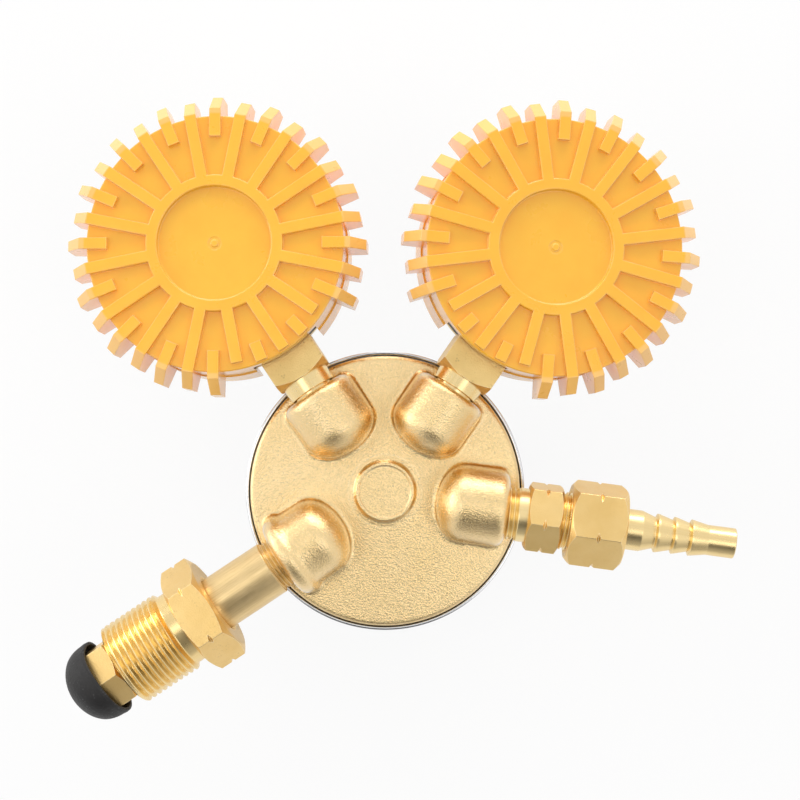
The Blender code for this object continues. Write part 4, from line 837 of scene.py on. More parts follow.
@dataclass(frozen=True)
class TurnedBrass:
    """Machined brass with fine lathe rings."""

    colour: Colour = (0.95, 0.74, 0.38)
    shade: Colour = (0.82, 0.58, 0.23)
    roughness: float = 0.27
    pitch: float = 0.16 * MM
    depth: float = 0.012 * MM
    streaks: float = 0.35

    def coat(self, name: str, place: Matrix = WORLD_AXES) -> Finish:
        """Make the material."""
        coat = Coat(name, place)
        marks = coat.effect(EFFECTS.marks, Pitch=self.pitch)
        smudge = coat.effect(EFFECTS.handling)
        worn_and_sheen = coat.effect(EFFECTS.wear_and_sheen, Width=0.25 * MM)
        colour = coat.blend(marks.outputs["Streak"], self.streaks, self.colour, self.shade)
        coat.set("Base Color", coat.blend(worn_and_sheen.outputs["Mask"], 0.6, colour, (0.98, 0.86, 0.60)))
        coat.roughen(smudge.outputs["Mask"], self.roughness, self.roughness + 0.13)
        coat.set("Metallic", 1.0)
        coat.bump(marks.outputs["Height"], self.depth, 0.6)
        return coat.material


@dataclass(frozen=True)
class MilledBrass:
    """The milled flats of a hexagon or a square, satin with a fine grain."""

    colour: Colour = (0.93, 0.66, 0.28)
    shade: Colour = (0.80, 0.51, 0.16)
    roughness: float = 0.30
    grain: float = 0.42 * MM
    depth: float = 0.05 * MM
    tarnish: float = 0.05

    def coat(self, name: str, place: Matrix = WORLD_AXES) -> Finish:
        """Make the material."""
        coat = Coat(name, place)
        grain = coat.effect(EFFECTS.grain, Size=self.grain)
        specks = coat.effect(EFFECTS.specks, Spacing=1.1 * MM)
        smudge = coat.effect(EFFECTS.handling)
        worn_and_sheen = coat.effect(EFFECTS.wear_and_sheen, Width=0.3 * MM)
        colour = coat.blend(grain.outputs["Tone"], 0.5, self.colour, self.shade)
        colour = coat.blend(specks.outputs["Mask"], self.tarnish, colour, (0.42, 0.27, 0.11))
        coat.set("Base Color", coat.blend(worn_and_sheen.outputs["Mask"], 0.75, colour, (0.99, 0.88, 0.62)))
        coat.roughen(smudge.outputs["Mask"], self.roughness, self.roughness + 0.12)
        coat.set("Metallic", 1.0)
        coat.bump(grain.outputs["Height"], self.depth, 0.7)
        return coat.material


@dataclass(frozen=True)
class PlatedMetal:
    """Bright plated or plain turned steel."""

    colour: Colour = (0.72, 0.72, 0.74)
    roughness: float = 0.12
    pitch: float = 0.3 * MM
    depth: float = 0.006 * MM

    def coat(self, name: str, place: Matrix = WORLD_AXES) -> Finish:
        """Make the material."""
        coat = Coat(name, place)
        marks = coat.effect(EFFECTS.marks, Pitch=self.pitch)
        smudge = coat.effect(EFFECTS.handling)
        shade = tuple(0.72 * part for part in self.colour)
        coat.set("Base Color", coat.blend(smudge.outputs["Mask"], 0.4, self.colour, shade))
        coat.roughen(smudge.outputs["Mask"], self.roughness, self.roughness + 0.1)
        coat.set("Metallic", 1.0)
        coat.bump(marks.outputs["Height"], self.depth, 0.5)
        return coat.material


@dataclass(frozen=True)
class MouldedPlastic:
    """Moulded plastic with a very fine skin, and a pale colour painted on its edges and outer tips as painted
    sheen.
    """

    colour: Colour = (1.0, 0.52, 0.022)
    shade: Colour = (1.0, 0.48, 0.016)
    # The edge colour is painted sheen, tinted onto edges and outer tips.
    edge: Colour = (1.0, 0.70, 0.42)
    roughness: float = 0.32
    grain: float = 0.35 * MM
    depth: float = 0.012 * MM
    sheen_share: float = 0.5
    gloss: float = 0.0
    # Radius from which the outer tips get painted sheen.
    sheen_from: float = 0.0

    def coat(self, name: str, place: Matrix = WORLD_AXES) -> Finish:
        """Make the material."""
        coat = Coat(name, place)
        grain = coat.effect(EFFECTS.grain, Size=self.grain)
        smudge = coat.effect(EFFECTS.handling)
        # Painted sheen: the edge mask, and the outer tips from the sheen radius out, tint the colour towards
        # the pale edge colour.
        worn_and_sheen = coat.effect(EFFECTS.wear_and_sheen, Width=0.45 * MM)
        colour = coat.sheet.tint(grain.outputs["Tone"], self.colour, self.shade)
        painted_sheen = coat.sheet.product(worn_and_sheen.outputs["Mask"], self.sheen_share)
        if self.sheen_from:
            radius = coat.sheet.polar(coat.place)[1]
            tip_sheen = coat.sheet.remap(radius, (self.sheen_from, self.sheen_from + 0.6 * MM), (0.0, 0.3))
            painted_sheen = coat.sheet.math("MAXIMUM", painted_sheen, tip_sheen)
        coat.set("Base Color", coat.sheet.tint(painted_sheen, colour, self.edge))
        coat.roughen(smudge.outputs["Mask"], self.roughness - 0.05, self.roughness + 0.1)
        coat.set("Coat Weight", self.gloss)
        coat.set("Coat Roughness", 0.14)
        coat.bump(grain.outputs["Height"], self.depth, 0.5)
        return coat.material


@dataclass(frozen=True)
class Rubber:
    """Matte moulded rubber with a greyish bloom."""

    colour: Colour = (0.016, 0.015, 0.015)
    bloom: Colour = (0.045, 0.042, 0.040)
    roughness: float = 0.6
    grain: float = 0.9 * MM

    def coat(self, name: str, place: Matrix = WORLD_AXES) -> Finish:
        """Make the material."""
        coat = Coat(name, place)
        grain = coat.effect(EFFECTS.grain, Size=self.grain)
        smudge = coat.effect(EFFECTS.handling)
        specks = coat.effect(EFFECTS.specks, Spacing=0.9 * MM)
        colour = coat.blend(smudge.outputs["Mask"], 0.55, self.colour, self.bloom)
        coat.set("Base Color", coat.blend(specks.outputs["Mask"], 0.25, colour, (0.2, 0.2, 0.2)))
        coat.roughen(smudge.outputs["Mask"], self.roughness - 0.12, self.roughness + 0.1)
        coat.set("Specular IOR Level", 0.35)
        coat.bump(grain.outputs["Height"], 0.12 * MM, 0.8)
        return coat.material


@dataclass(frozen=True)
class Enamel:
    """Smooth baked paint."""

    colour: Colour = (0.88, 0.88, 0.86)
    roughness: float = 0.4

    def coat(self, name: str, place: Matrix = WORLD_AXES) -> Finish:
        """Make the material."""
        coat = Coat(name, place)
        grain = coat.effect(EFFECTS.grain, Size=0.4 * MM)
        shade = tuple(0.9 * part for part in self.colour)
        coat.set("Base Color", coat.blend(grain.outputs["Tone"], 0.5, self.colour, shade))
        coat.roughen(grain.outputs["Tone"], self.roughness, self.roughness + 0.08)
        coat.bump(grain.outputs["Height"], 0.01 * MM, 0.4)
        return coat.material


@dataclass(frozen=True)
class ClearWindow:
    """The clear window of a gauge, with faint smudges."""

    colour: Colour = (0.95, 0.97, 0.97)

    def coat(self, name: str, place: Matrix = WORLD_AXES) -> Finish:
        """Make the material."""
        coat = Coat(name, place)
        smudge = coat.effect(EFFECTS.handling)
        coat.set("Base Color", self.colour)
        coat.roughen(smudge.outputs["Mask"], 0.02, 0.07)
        coat.set("Transmission Weight", 1.0)
        coat.set("IOR", 1.49)
        return coat.material


# ================================================================ sub-assemblies
@dataclass
class SubAssembly:
    """A group of pieces that are built, dressed and set on their bodies together."""

    def build(self) -> None:
        """Make the meshes."""
        raise NotImplementedError

    def dress(self) -> None:
        """Give the pieces their finishes and bodies."""
        raise NotImplementedError

    @staticmethod
    def seat(made: Piece, body: str, node: str | None, slot: str, coat: Finish, angle: float = 32.0) -> Piece:
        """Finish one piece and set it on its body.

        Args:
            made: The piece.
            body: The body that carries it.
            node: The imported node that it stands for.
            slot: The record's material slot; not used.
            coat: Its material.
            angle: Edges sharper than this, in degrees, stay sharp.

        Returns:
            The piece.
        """
        made.data.materials.clear()
        made.data.materials.append(coat)
        made.data.polygons.foreach_set("material_index", [0] * len(made.data.polygons))
        Shaper.smooth(made, angle)
        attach(made, body)
        if node:
            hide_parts(node)
        LOG.info("%s on %s, %d faces", made.name, body, len(made.data.polygons))
        return made


@dataclass(frozen=True)
class Boss:
    """One port boss of the forged body."""

    azimuth: float
    beside: float
    collar: bool = False


@dataclass
class ForgedBody(SubAssembly):
    """The forged body: a disc with four port bosses and a centre boss, softened as a forging is."""

    radius: float = 39.85 * MM
    seat_z: float = 68.3 * MM
    rim_z: float = 77.0 * MM
    crown: float = 1.35 * MM
    port_z: float = 86.0 * MM
    boss_r: float = 11.0 * MM
    boss_tip: float = 15.3 * MM
    boss_nose: float = 7.8 * MM
    boss_face: float = 35.6 * MM
    boss_edge: float = 2.6 * MM
    collar_r: float = 12.25 * MM
    collar_length: float = 4.6 * MM
    centre_r: float = 9.2 * MM
    centre_top_z: float = 79.6 * MM
    voxel: float = 0.5 * MM
    soften: int = 7
    bosses: tuple[Boss, ...] = (
        Boss(math.radians(213.5), 0.15 * MM, True),
        Boss(math.radians(352.3), -0.25 * MM),
        Boss(math.radians(123.45), 0.95 * MM),
        Boss(math.radians(55.5), 0.45 * MM),
    )
    forging: Piece | None = field(default=None, init=False)

    def _boss_profile(self, boss: Boss) -> list[Point]:
        """Return (radius, distance) points of a boss, from its face to its inner end."""
        face = self.boss_face
        steps = 10
        edge = self.boss_edge
        outer = self.collar_r if boss.collar else self.boss_r
        points = [(outer - edge, face)]
        for i in range(1, steps + 1):
            turn = math.pi / 2 * i / steps
            points.append((outer - edge + edge * math.sin(turn), face - edge * (1 - math.cos(turn))))
        if boss.collar:
            end = face - self.collar_length
            points += [(outer, end + 0.6 * MM), (outer - 0.5 * MM, end)]
            points += [(self.boss_r + 0.2 * MM, end - 0.9 * MM), (self.boss_r, end - 4.0 * MM)]
        start = self.boss_tip + self.boss_nose
        for i in range(steps + 1):
            turn = math.pi / 2 * i / steps * 0.98
            points.append((self.boss_r * math.cos(turn), start - self.boss_nose * math.sin(turn)))
        return points

    def _boss_shape(self, boss: Boss) -> Shape:
        """Make one boss: round above its axis, straight-sided with a little draft below it."""
        shape = bmesh.new()
        low = self.rim_z - 2.0 * MM - self.port_z
        rings = []
        for radius, distance in self._boss_profile(boss):
            foot = radius + 0.5 * MM
            section = [(foot, low)]
            section += [
                (radius * math.cos(math.pi * i / 28), radius * math.sin(math.pi * i / 28)) for i in range(29)
            ]
            section.append((-foot, low))
            rings.append([shape.verts.new((distance, across, height)) for across, height in section])
        shape.faces.new(rings[0])
        shape.faces.new(rings[-1][::-1])
        for outer, inner in zip(rings, rings[1:]):
            for i in range(len(outer)):
                j = (i + 1) % len(outer)
                shape.faces.new((outer[i], outer[j], inner[j], inner[i]))
        bmesh.ops.recalc_face_normals(shape, faces=shape.faces)
        beside = Vector((-math.sin(boss.azimuth), math.cos(boss.azimuth), 0)) * boss.beside
        turn = Matrix.Rotation(boss.azimuth, 4, "Z")
        shape.transform(Matrix.Translation(beside + Vector((0, 0, self.port_z))) @ turn)
        return shape

    def build(self) -> None:
        """Merge disc and bosses into one skin, soften it, and add the crisp centre boss."""
        top = self.rim_z + self.crown
        disc = [
            (0, top),
            (self.centre_r, top),
            (0.6 * self.radius, top - 0.48 * self.crown),
            (self.radius - 0.9 * MM, self.rim_z + 0.05 * MM),
            (self.radius, self.rim_z - 0.7 * MM),
            (self.radius, self.seat_z),
            (0, self.seat_z),
        ]
        made = Shaper.piece("forged_body", Shaper.lathe(disc, 160))
        made = Shaper.join(made, *[Shaper.piece("boss", self._boss_shape(boss)) for boss in self.bosses])
        remesh = made.modifiers.new("skin", "REMESH")
        remesh.mode = "VOXEL"
        remesh.voxel_size = self.voxel
        Shaper.settle(made)
        group = made.vertex_groups.new(name="soft")
        for vertex in made.data.vertices:
            from_axis = math.hypot(vertex.co.x, vertex.co.y)
            at_rim = min(1.0, max(0.25, (self.radius - 1.2 * MM - from_axis) / (1.5 * MM)))
            group.add([vertex.index], at_rim if vertex.co.z < self.rim_z + 0.4 * MM else 1.0, "REPLACE")
        soft = made.modifiers.new("soften", "SMOOTH")
        soft.iterations = self.soften
        soft.factor = 0.5
        soft.vertex_group = "soft"
        Shaper.settle(made)
        made.vertex_groups.clear()
        z = self.centre_top_z
        centre = [
            (0, z - 0.3 * MM, 0),
            (7.35 * MM, z - 0.3 * MM, 0.15 * MM),
            (7.75 * MM, z, 0.25 * MM),
            (8.45 * MM, z, 0.35 * MM),
            (self.centre_r + 0.05 * MM, top + 0.1 * MM, 0.7 * MM),
            (self.centre_r + 1.6 * MM, top - 0.12 * MM, 0),
            (self.centre_r + 1.6 * MM, top - 2.0 * MM, 0),
            (0, top - 2.0 * MM, 0),
        ]
        self.forging = Shaper.join(made, Shaper.turned("centre", centre, 128, segments=6))

    def dress(self) -> None:
        """Blast the whole forging."""
        coat = BlastedBrass().coat("blasted_brass")
        self.seat(self.forging, "housing", "body", "blasted_brass", coat, 40.0)


@dataclass
class Front(SubAssembly):
    """The plated bonnet and the fluted knob, with the hole for their screw."""

    body_r: float = 39.85 * MM
    lip_wall: float = 1.0 * MM
    lip_z: float = 75.8 * MM
    band: float = 14.0 * MM
    band_step: float = 3.2 * MM
    front_r: float = 20.0 * MM
    dome_z: float = 32.0 * MM
    neck_z: float = 21.75 * MM
    neck_r: float = 12.5 * MM
    screw_hole_r: float = 5.3 * MM
    vent_r: float = 1.8 * MM
    knob_r: float = 26.0 * MM
    knob_height: float = 22.0 * MM
    knob_floor: float = 5.0 * MM
    knob_wall: float = 3.2 * MM
    hub_r: float = 8.5 * MM
    hub_height: float = 8.0 * MM
    flutes: int = 12
    flute_depth: float = 1.7 * MM
    bonnet: Piece | None = field(default=None, init=False)
    knob: Piece | None = field(default=None, init=False)

    def _bell(self, inner: float, outer: float, low: float, high: float) -> list[Corner]:
        """Return the corners of a bell's curve, from its narrow low end up to its wide end."""
        steps = 18
        curve = []
        for i in range(steps + 1):
            turn = math.pi / 2 * i / steps
            radius = inner + (outer - inner) * math.sin(turn)
            curve.append((radius, low + (high - low) * (1 - math.cos(turn)), 0.0))
        return curve

    def _build_bonnet(self) -> Piece:
        """Turn the bonnet with its rolled lip, band, bell and neck, and drill its vent."""
        inside = self.body_r + GAP
        outside = inside + self.lip_wall
        band_z = self.lip_z - self.band
        groove_z = self.lip_z - 2.6 * MM
        outer = [
            (inside, self.lip_z, 0.48 * MM),
            (outside, self.lip_z, 0.52 * MM),
            (outside, groove_z, 0.1 * MM),
            (outside - 0.35 * MM, groove_z - 0.35 * MM, 0.1 * MM),
            (outside - 0.35 * MM, groove_z - 0.9 * MM, 0.1 * MM),
            (outside, groove_z - 1.25 * MM, 0.1 * MM),
            (outside, band_z, 1.0 * MM),
        ]
        bell = self._bell(self.front_r, outside - self.band_step, self.dome_z, band_z)[::-1]
        neck = [
            (self.neck_r, self.dome_z, 1.0 * MM),
            (self.neck_r, self.neck_z, 0.8 * MM),
            (self.screw_hole_r, self.neck_z, 0.3 * MM),
            (self.screw_hole_r, 35.0 * MM, 0.3 * MM),
        ]
        inner = self._bell(17.0 * MM, 30.7 * MM, 35.0 * MM, band_z)
        inner += [(30.7 * MM, 64.8 * MM, 0), (inside, 64.8 * MM, 0)]
        profile = [(inside, self.lip_z - 2 * MM, 0), *outer, *bell, *neck, *inner]
        made = Shaper.turned("plated_bonnet", profile, 160, loop=True)
        vent_z = (self.dome_z + band_z) / 2
        aim = Matrix.Translation((0, 0, vent_z)) @ Matrix.Rotation(-math.pi / 2, 4, "X")
        return Shaper.drill(made, self.vent_r, (15 * MM, 42 * MM), 32, aim)

    def _build_knob(self) -> Piece:
        """Turn the knob and press its flutes."""
        inner = self.knob_r - self.flute_depth - self.knob_wall
        hub_top = self.knob_floor + self.hub_height
        rim = [
            (0, self.knob_floor, 0),
            (self.screw_hole_r, self.knob_floor, 0.2 * MM),
            (self.screw_hole_r, hub_top, 0.4 * MM),
            (self.hub_r, hub_top, 0.6 * MM),
            (self.hub_r, self.knob_floor, 1.0 * MM),
            (inner, self.knob_floor, 1.2 * MM),
            (inner, self.knob_height, 0.8 * MM),
            (self.knob_r, self.knob_height, 1.6 * MM),
            (self.knob_r, 0, 1.6 * MM),
            (18.5 * MM, 0, 0.2 * MM),
            (18.0 * MM, 0.5 * MM, 0.2 * MM),
            (16.5 * MM, 0.5 * MM, 0.2 * MM),
            (16.0 * MM, 0, 0.2 * MM),
            (0, 0, 0),
        ]
        profile = Shaper.rounded(rim, 5)
        dense: list[Point] = []
        for (r0, z0), (r1, z1) in zip(profile, profile[1:]):
            pieces = max(1, round(math.hypot(r1 - r0, z1 - z0) / (2.4 * MM)))
            dense += [(r0 + (r1 - r0) * i / pieces, z0 + (z1 - z0) * i / pieces) for i in range(pieces)]
        dense.append(profile[-1])
        made = Shaper.piece("fluted_knob", Shaper.lathe(dense, 240))
        least = (inner + self.knob_r) / 2 - 0.2 * MM
        values = {"Flutes": float(self.flutes), "Depth": self.flute_depth, "Least_Radius": least}
        return RULES.apply(made, RULES.flutes, "knob_blank", **values)

    def build(self) -> None:
        """Make the bonnet and the knob."""
        self.bonnet = self._build_bonnet()
        self.knob = self._build_knob()

    def dress(self) -> None:
        """Plate the bonnet and give the knob its moulded skin."""
        plated = PlatedMetal((0.80, 0.80, 0.81), 0.16, depth=0.004 * MM)
        self.seat(self.bonnet, "housing", "bonnet", "plated_ring", plated.coat("plated_bonnet"))
        # The knob's paler edges are painted sheen.
        black = MouldedPlastic(
            (0.020, 0.020, 0.021), (0.030, 0.030, 0.031), (0.07, 0.07, 0.07), 0.42, 0.5 * MM, 0.03 * MM, 0.6
        )
        self.seat(self.knob, "knob", "adjusting_knob", "knob_plastic", black.coat("knob_plastic"))


def notched_hex(
    name: str, across_flats: float, span: Point, chamfers: Point, turn: float, notch: bool = True
) -> Piece:
    """Make a hexagon with turned chamfers and a V notch across each corner, about its own Z.

    Args:
        name: The piece's name.
        across_flats: The distance between two flats.
        span: Its low and high end.
        chamfers: The chamfers' lengths at the low and the high end.
        turn: How far the flats are turned.
        notch: Whether it has the notches.

    Returns:
        The piece, not yet set in its place.
    """
    low, high = span
    corner = across_flats / 2 / math.cos(math.pi / 6)
    flat = across_flats / 2
    middle = (low + high) / 2
    clear = corner + 0.5 * MM
    reach = corner - flat
    top_slope = chamfers[1] / reach if reach else 1.0
    low_slope = chamfers[0] / reach if reach else 1.0
    outline: list[Corner] = [
        (0, high, 0),
        (flat - 0.35 * MM, high, 0.5 * MM),
        (clear, high - top_slope * (clear - flat + 0.35 * MM), 0),
    ]
    if notch:
        outline += [
            (clear, middle + 1.05 * MM, 0),
            (corner - 0.95 * MM, middle, 0.25 * MM),
            (clear, middle - 1.05 * MM, 0),
        ]
    outline += [
        (clear, low + low_slope * (clear - flat + 0.35 * MM), 0),
        (flat - 0.35 * MM, low, 0.5 * MM),
        (0, low, 0),
    ]
    made = Shaper.turned(name, outline, 144)
    return Shaper.cut_flats(made, Shaper.polygon(6, across_flats, turn), span, 0.22 * MM)


def threaded_rows(radius: float, high: float, low: float, pitch: float) -> list[Point]:
    """Return close rows of a turned blank, ready for a helical groove.

    Args:
        radius: The blank's radius.
        high: Where the thread starts.
        low: Where it ends.
        pitch: The thread's pitch.

    Returns:
        The profile's points.
    """
    count = max(2, round((high - low) / pitch * 16))
    return [(radius, high + (low - high) * i / count) for i in range(count + 1)]


def cut_thread(made: Piece, pitch: float, span: Point, root: float, hand: Hand) -> Piece:
    """Cut a helical groove into a blank that stands on its own Z.

    Args:
        made: The blank.
        pitch: The thread's pitch.
        span: The thread's low and high end.
        root: Points nearer to the axis than this stay.
        hand: Which way it winds.

    Returns:
        The threaded piece.
    """
    return RULES.apply(
        made,
        RULES.thread,
        "thread_blank",
        Pitch=pitch,
        Depth=0.6 * pitch,
        Hand=hand.value,
        Low=span[0],
        High=span[1],
        Least_Radius=root,
    )


@dataclass
class Inlet(SubAssembly):
    """The inlet: its pipe with a hexagonal nose, the captive nut and the rubber cap."""

    pitch: float = 1.814 * MM
    boss_face: float = 35.6 * MM
    pipe_thread_r: float = 7.4 * MM
    pipe_r: float = 8.05 * MM
    pipe_start: float = 39.0 * MM
    bore_r: float = 3.6 * MM
    nut_start: float = 57.8 * MM
    nut_hex: float = 10.4 * MM
    nut_flats: float = 28.4 * MM
    nut_turn: float = math.radians(5)
    neck: float = 4.0 * MM
    neck_r: float = 11.15 * MM
    thread: float = 18.2 * MM
    thread_r: float = 12.55 * MM
    nose_hex: float = 5.6 * MM
    nose_flats: float = 17.7 * MM
    nose_turn: float = math.radians(27)
    nose_r: float = 7.6 * MM
    nose_length: float = 8.5 * MM
    cap_r: float = 11.5 * MM
    cap_wall: float = 2.6 * MM
    lip_overlap: float = 1.9 * MM
    lip_bore_r: float = 10.55 * MM
    pipe: Piece | None = field(default=None, init=False)
    nose: Piece | None = field(default=None, init=False)
    nut: Piece | None = field(default=None, init=False)
    block: Piece | None = field(default=None, init=False)
    cap: Piece | None = field(default=None, init=False)

    @property
    def nut_end(self) -> float:
        """Where the nut's thread ends."""
        return self.nut_start + self.nut_hex + self.neck + self.thread

    def _build_pipe(self) -> Piece:
        """Turn the pipe with its thread, shoulder line, hexagon and nose."""
        hex_start = self.nut_end + GAP
        hex_end = hex_start + self.nose_hex
        nose_end = hex_end + self.nose_length
        low = self.boss_face - 8 * MM
        profile = Shaper.rounded(
            [
                (self.bore_r, nose_end, 0),
                (self.nose_r - 0.9 * MM, nose_end, 0.3 * MM),
                (self.nose_r, nose_end - 0.9 * MM, 0.3 * MM),
                (self.nose_r, hex_end - SINK, 0),
                (self.pipe_r, hex_end - SINK, 0),
                (self.pipe_r, 46.2 * MM, 0),
                (self.pipe_r - 0.03 * MM, 46.0 * MM, 0),
                (self.pipe_r - 0.03 * MM, self.pipe_start, 0.35 * MM),
                (self.pipe_thread_r, self.pipe_start, 0),
            ]
        )
        profile += threaded_rows(self.pipe_thread_r, self.pipe_start, low, self.pitch * 0.6)
        profile += [(self.bore_r, low)]
        made = Shaper.piece("inlet_pipe", Shaper.lathe(profile, 144, loop=True))
        span = (low, self.pipe_start)
        made = cut_thread(made, self.pitch * 0.6, span, self.pipe_thread_r - 0.05 * MM, Hand.RIGHT)
        under_cap = hex_end + self.lip_overlap
        nose = notched_hex(
            "nose", self.nose_flats, (hex_start, under_cap), (0.8 * MM, 0.8 * MM), self.nose_turn, False
        )
        self.nose = Shaper.drill(nose, 7.0 * MM, (80 * MM, 120 * MM))
        self.nose.name = "inlet_nose_hex"
        return made

    def _build_nut(self) -> Piece:
        """Turn the nut's long male thread and make the notched hexagon as a piece of its own."""
        hex_end = self.nut_start + self.nut_hex
        thread_low = hex_end + self.neck
        bore_r = self.pipe_r + GAP
        root = self.thread_r - 0.6 * self.pitch
        high = self.nut_end
        profile = [(bore_r, high), (root - 0.15 * MM, high), (root + 0.1 * MM, high - 0.12 * MM)]
        profile += threaded_rows(self.thread_r, high - 0.5 * MM, thread_low + 0.35 * MM, self.pitch)
        profile += Shaper.rounded(
            [
                (self.thread_r, thread_low + 0.35 * MM, 0),
                (self.neck_r, thread_low - 0.5 * MM, 0.6 * MM),
                (self.neck_r, hex_end - SINK, 0),
                (bore_r, hex_end - SINK, 0),
            ]
        )
        made = Shaper.piece("inlet_nut_thread", Shaper.lathe(profile, 144, loop=True))
        made = cut_thread(made, self.pitch, (thread_low, high), root + 0.15 * MM, Hand.LEFT)
        made.name = "left_hand_inlet_nut"
        block = notched_hex(
            "nut_block", self.nut_flats, (self.nut_start, hex_end), (1.15 * MM, 1.15 * MM), self.nut_turn
        )
        drill = [
            (0, 75 * MM, 0),
            (bore_r, 75 * MM, 0),
            (bore_r, self.nut_start + 0.9 * MM, 0.2 * MM),
            (bore_r + 1.6 * MM, self.nut_start - 0.7 * MM, 0),
            (0, self.nut_start - 0.7 * MM, 0),
        ]
        self.block = Shaper.combine(block, Shaper.turned("drill", drill, 96), "DIFFERENCE")
        self.block.name = "inlet_nut_hex"
        return made

    def _build_cap(self) -> Piece:
        """Turn the rubber cap and let its lip wave, as the stretched rubber does."""
        low = self.nut_end + GAP + self.nose_hex + GAP
        top = low + self.nose_length + self.cap_wall
        inner_r = self.nose_r + 0.75 * MM
        crown = []
        steps = 24
        skirt = 0.18 * (top - low)
        for i in range(steps + 1):
            turn = math.pi / 2 * i / steps
            crown.append((self.cap_r * math.sin(turn), low + skirt + (top - low - skirt) * math.cos(turn)))
        lip = Shaper.rounded(
            [
                (self.cap_r, low + skirt, 0),
                (self.cap_r + 0.15 * MM, low + 1.0 * MM, 0.5 * MM),
                (self.cap_r, low, 0.4 * MM),
                (self.lip_bore_r, low, 0.3 * MM),
                (self.lip_bore_r, low + self.lip_overlap + 0.4 * MM, 0.3 * MM),
                (inner_r, low + self.lip_overlap + 0.4 * MM, 0.3 * MM),
                (inner_r, top - self.cap_wall, 0.8 * MM),
                (0, top - self.cap_wall, 0),
            ]
        )
        shape = Shaper.lathe(crown + lip[1:], 120)
        for vertex in shape.verts:
            angle = math.atan2(vertex.co.y, vertex.co.x)
            near_lip = max(0.0, 1.0 - (vertex.co.z - low) / (0.55 * (top - low)))
            outer = math.hypot(vertex.co.x, vertex.co.y) > self.lip_bore_r - 0.6 * MM
            if outer and near_lip > 0:
                wave = 1.5 * max(0.0, math.cos(angle - 0.15)) + 0.2 * math.sin(3 * angle - 1.1)
                vertex.co.z += (wave - 1.1) * MM * near_lip
        return Shaper.piece("rubber_cap", shape)

    def build(self) -> None:
        """Make the pieces and set them on the inlet's axis."""
        place = port_axes("inlet_nut_turn")
        self.pipe = self._build_pipe()
        self.nut = self._build_nut()
        self.cap = self._build_cap()
        for made in (self.pipe, self.nose, self.nut, self.block, self.cap):
            made.data.transform(place)

    def dress(self) -> None:
        """Give the pieces their finishes."""
        place = port_axes("inlet_nut_turn")
        pipe = TurnedBrass((0.88, 0.66, 0.34), (0.60, 0.42, 0.18), 0.30, 0.12 * MM, 0.02 * MM, 0.45)
        thread = TurnedBrass((0.94, 0.71, 0.34), (0.86, 0.62, 0.24), 0.22)
        hexagon = MilledBrass(depth=0.09 * MM, tarnish=0.2)
        for made, body, node, finish, name, angle in (
            (self.pipe, "housing", "inlet_nipple", pipe, "inlet_pipe_brass", 30.0),
            (self.nose, "housing", None, MilledBrass(), "inlet_nose_brass", 14.0),
            (self.nut, "inlet_nut", "inlet_nut", thread, "inlet_thread_brass", 50.0),
            (self.block, "inlet_nut", None, hexagon, "inlet_nut_brass", 16.0),
        ):
            self.seat(made, body, node, "turned_brass", finish.coat(name, place), angle)
        self.seat(self.cap, "inlet_cap", "inlet_cap", "rubber", Rubber().coat("cap_rubber", place), 40.0)


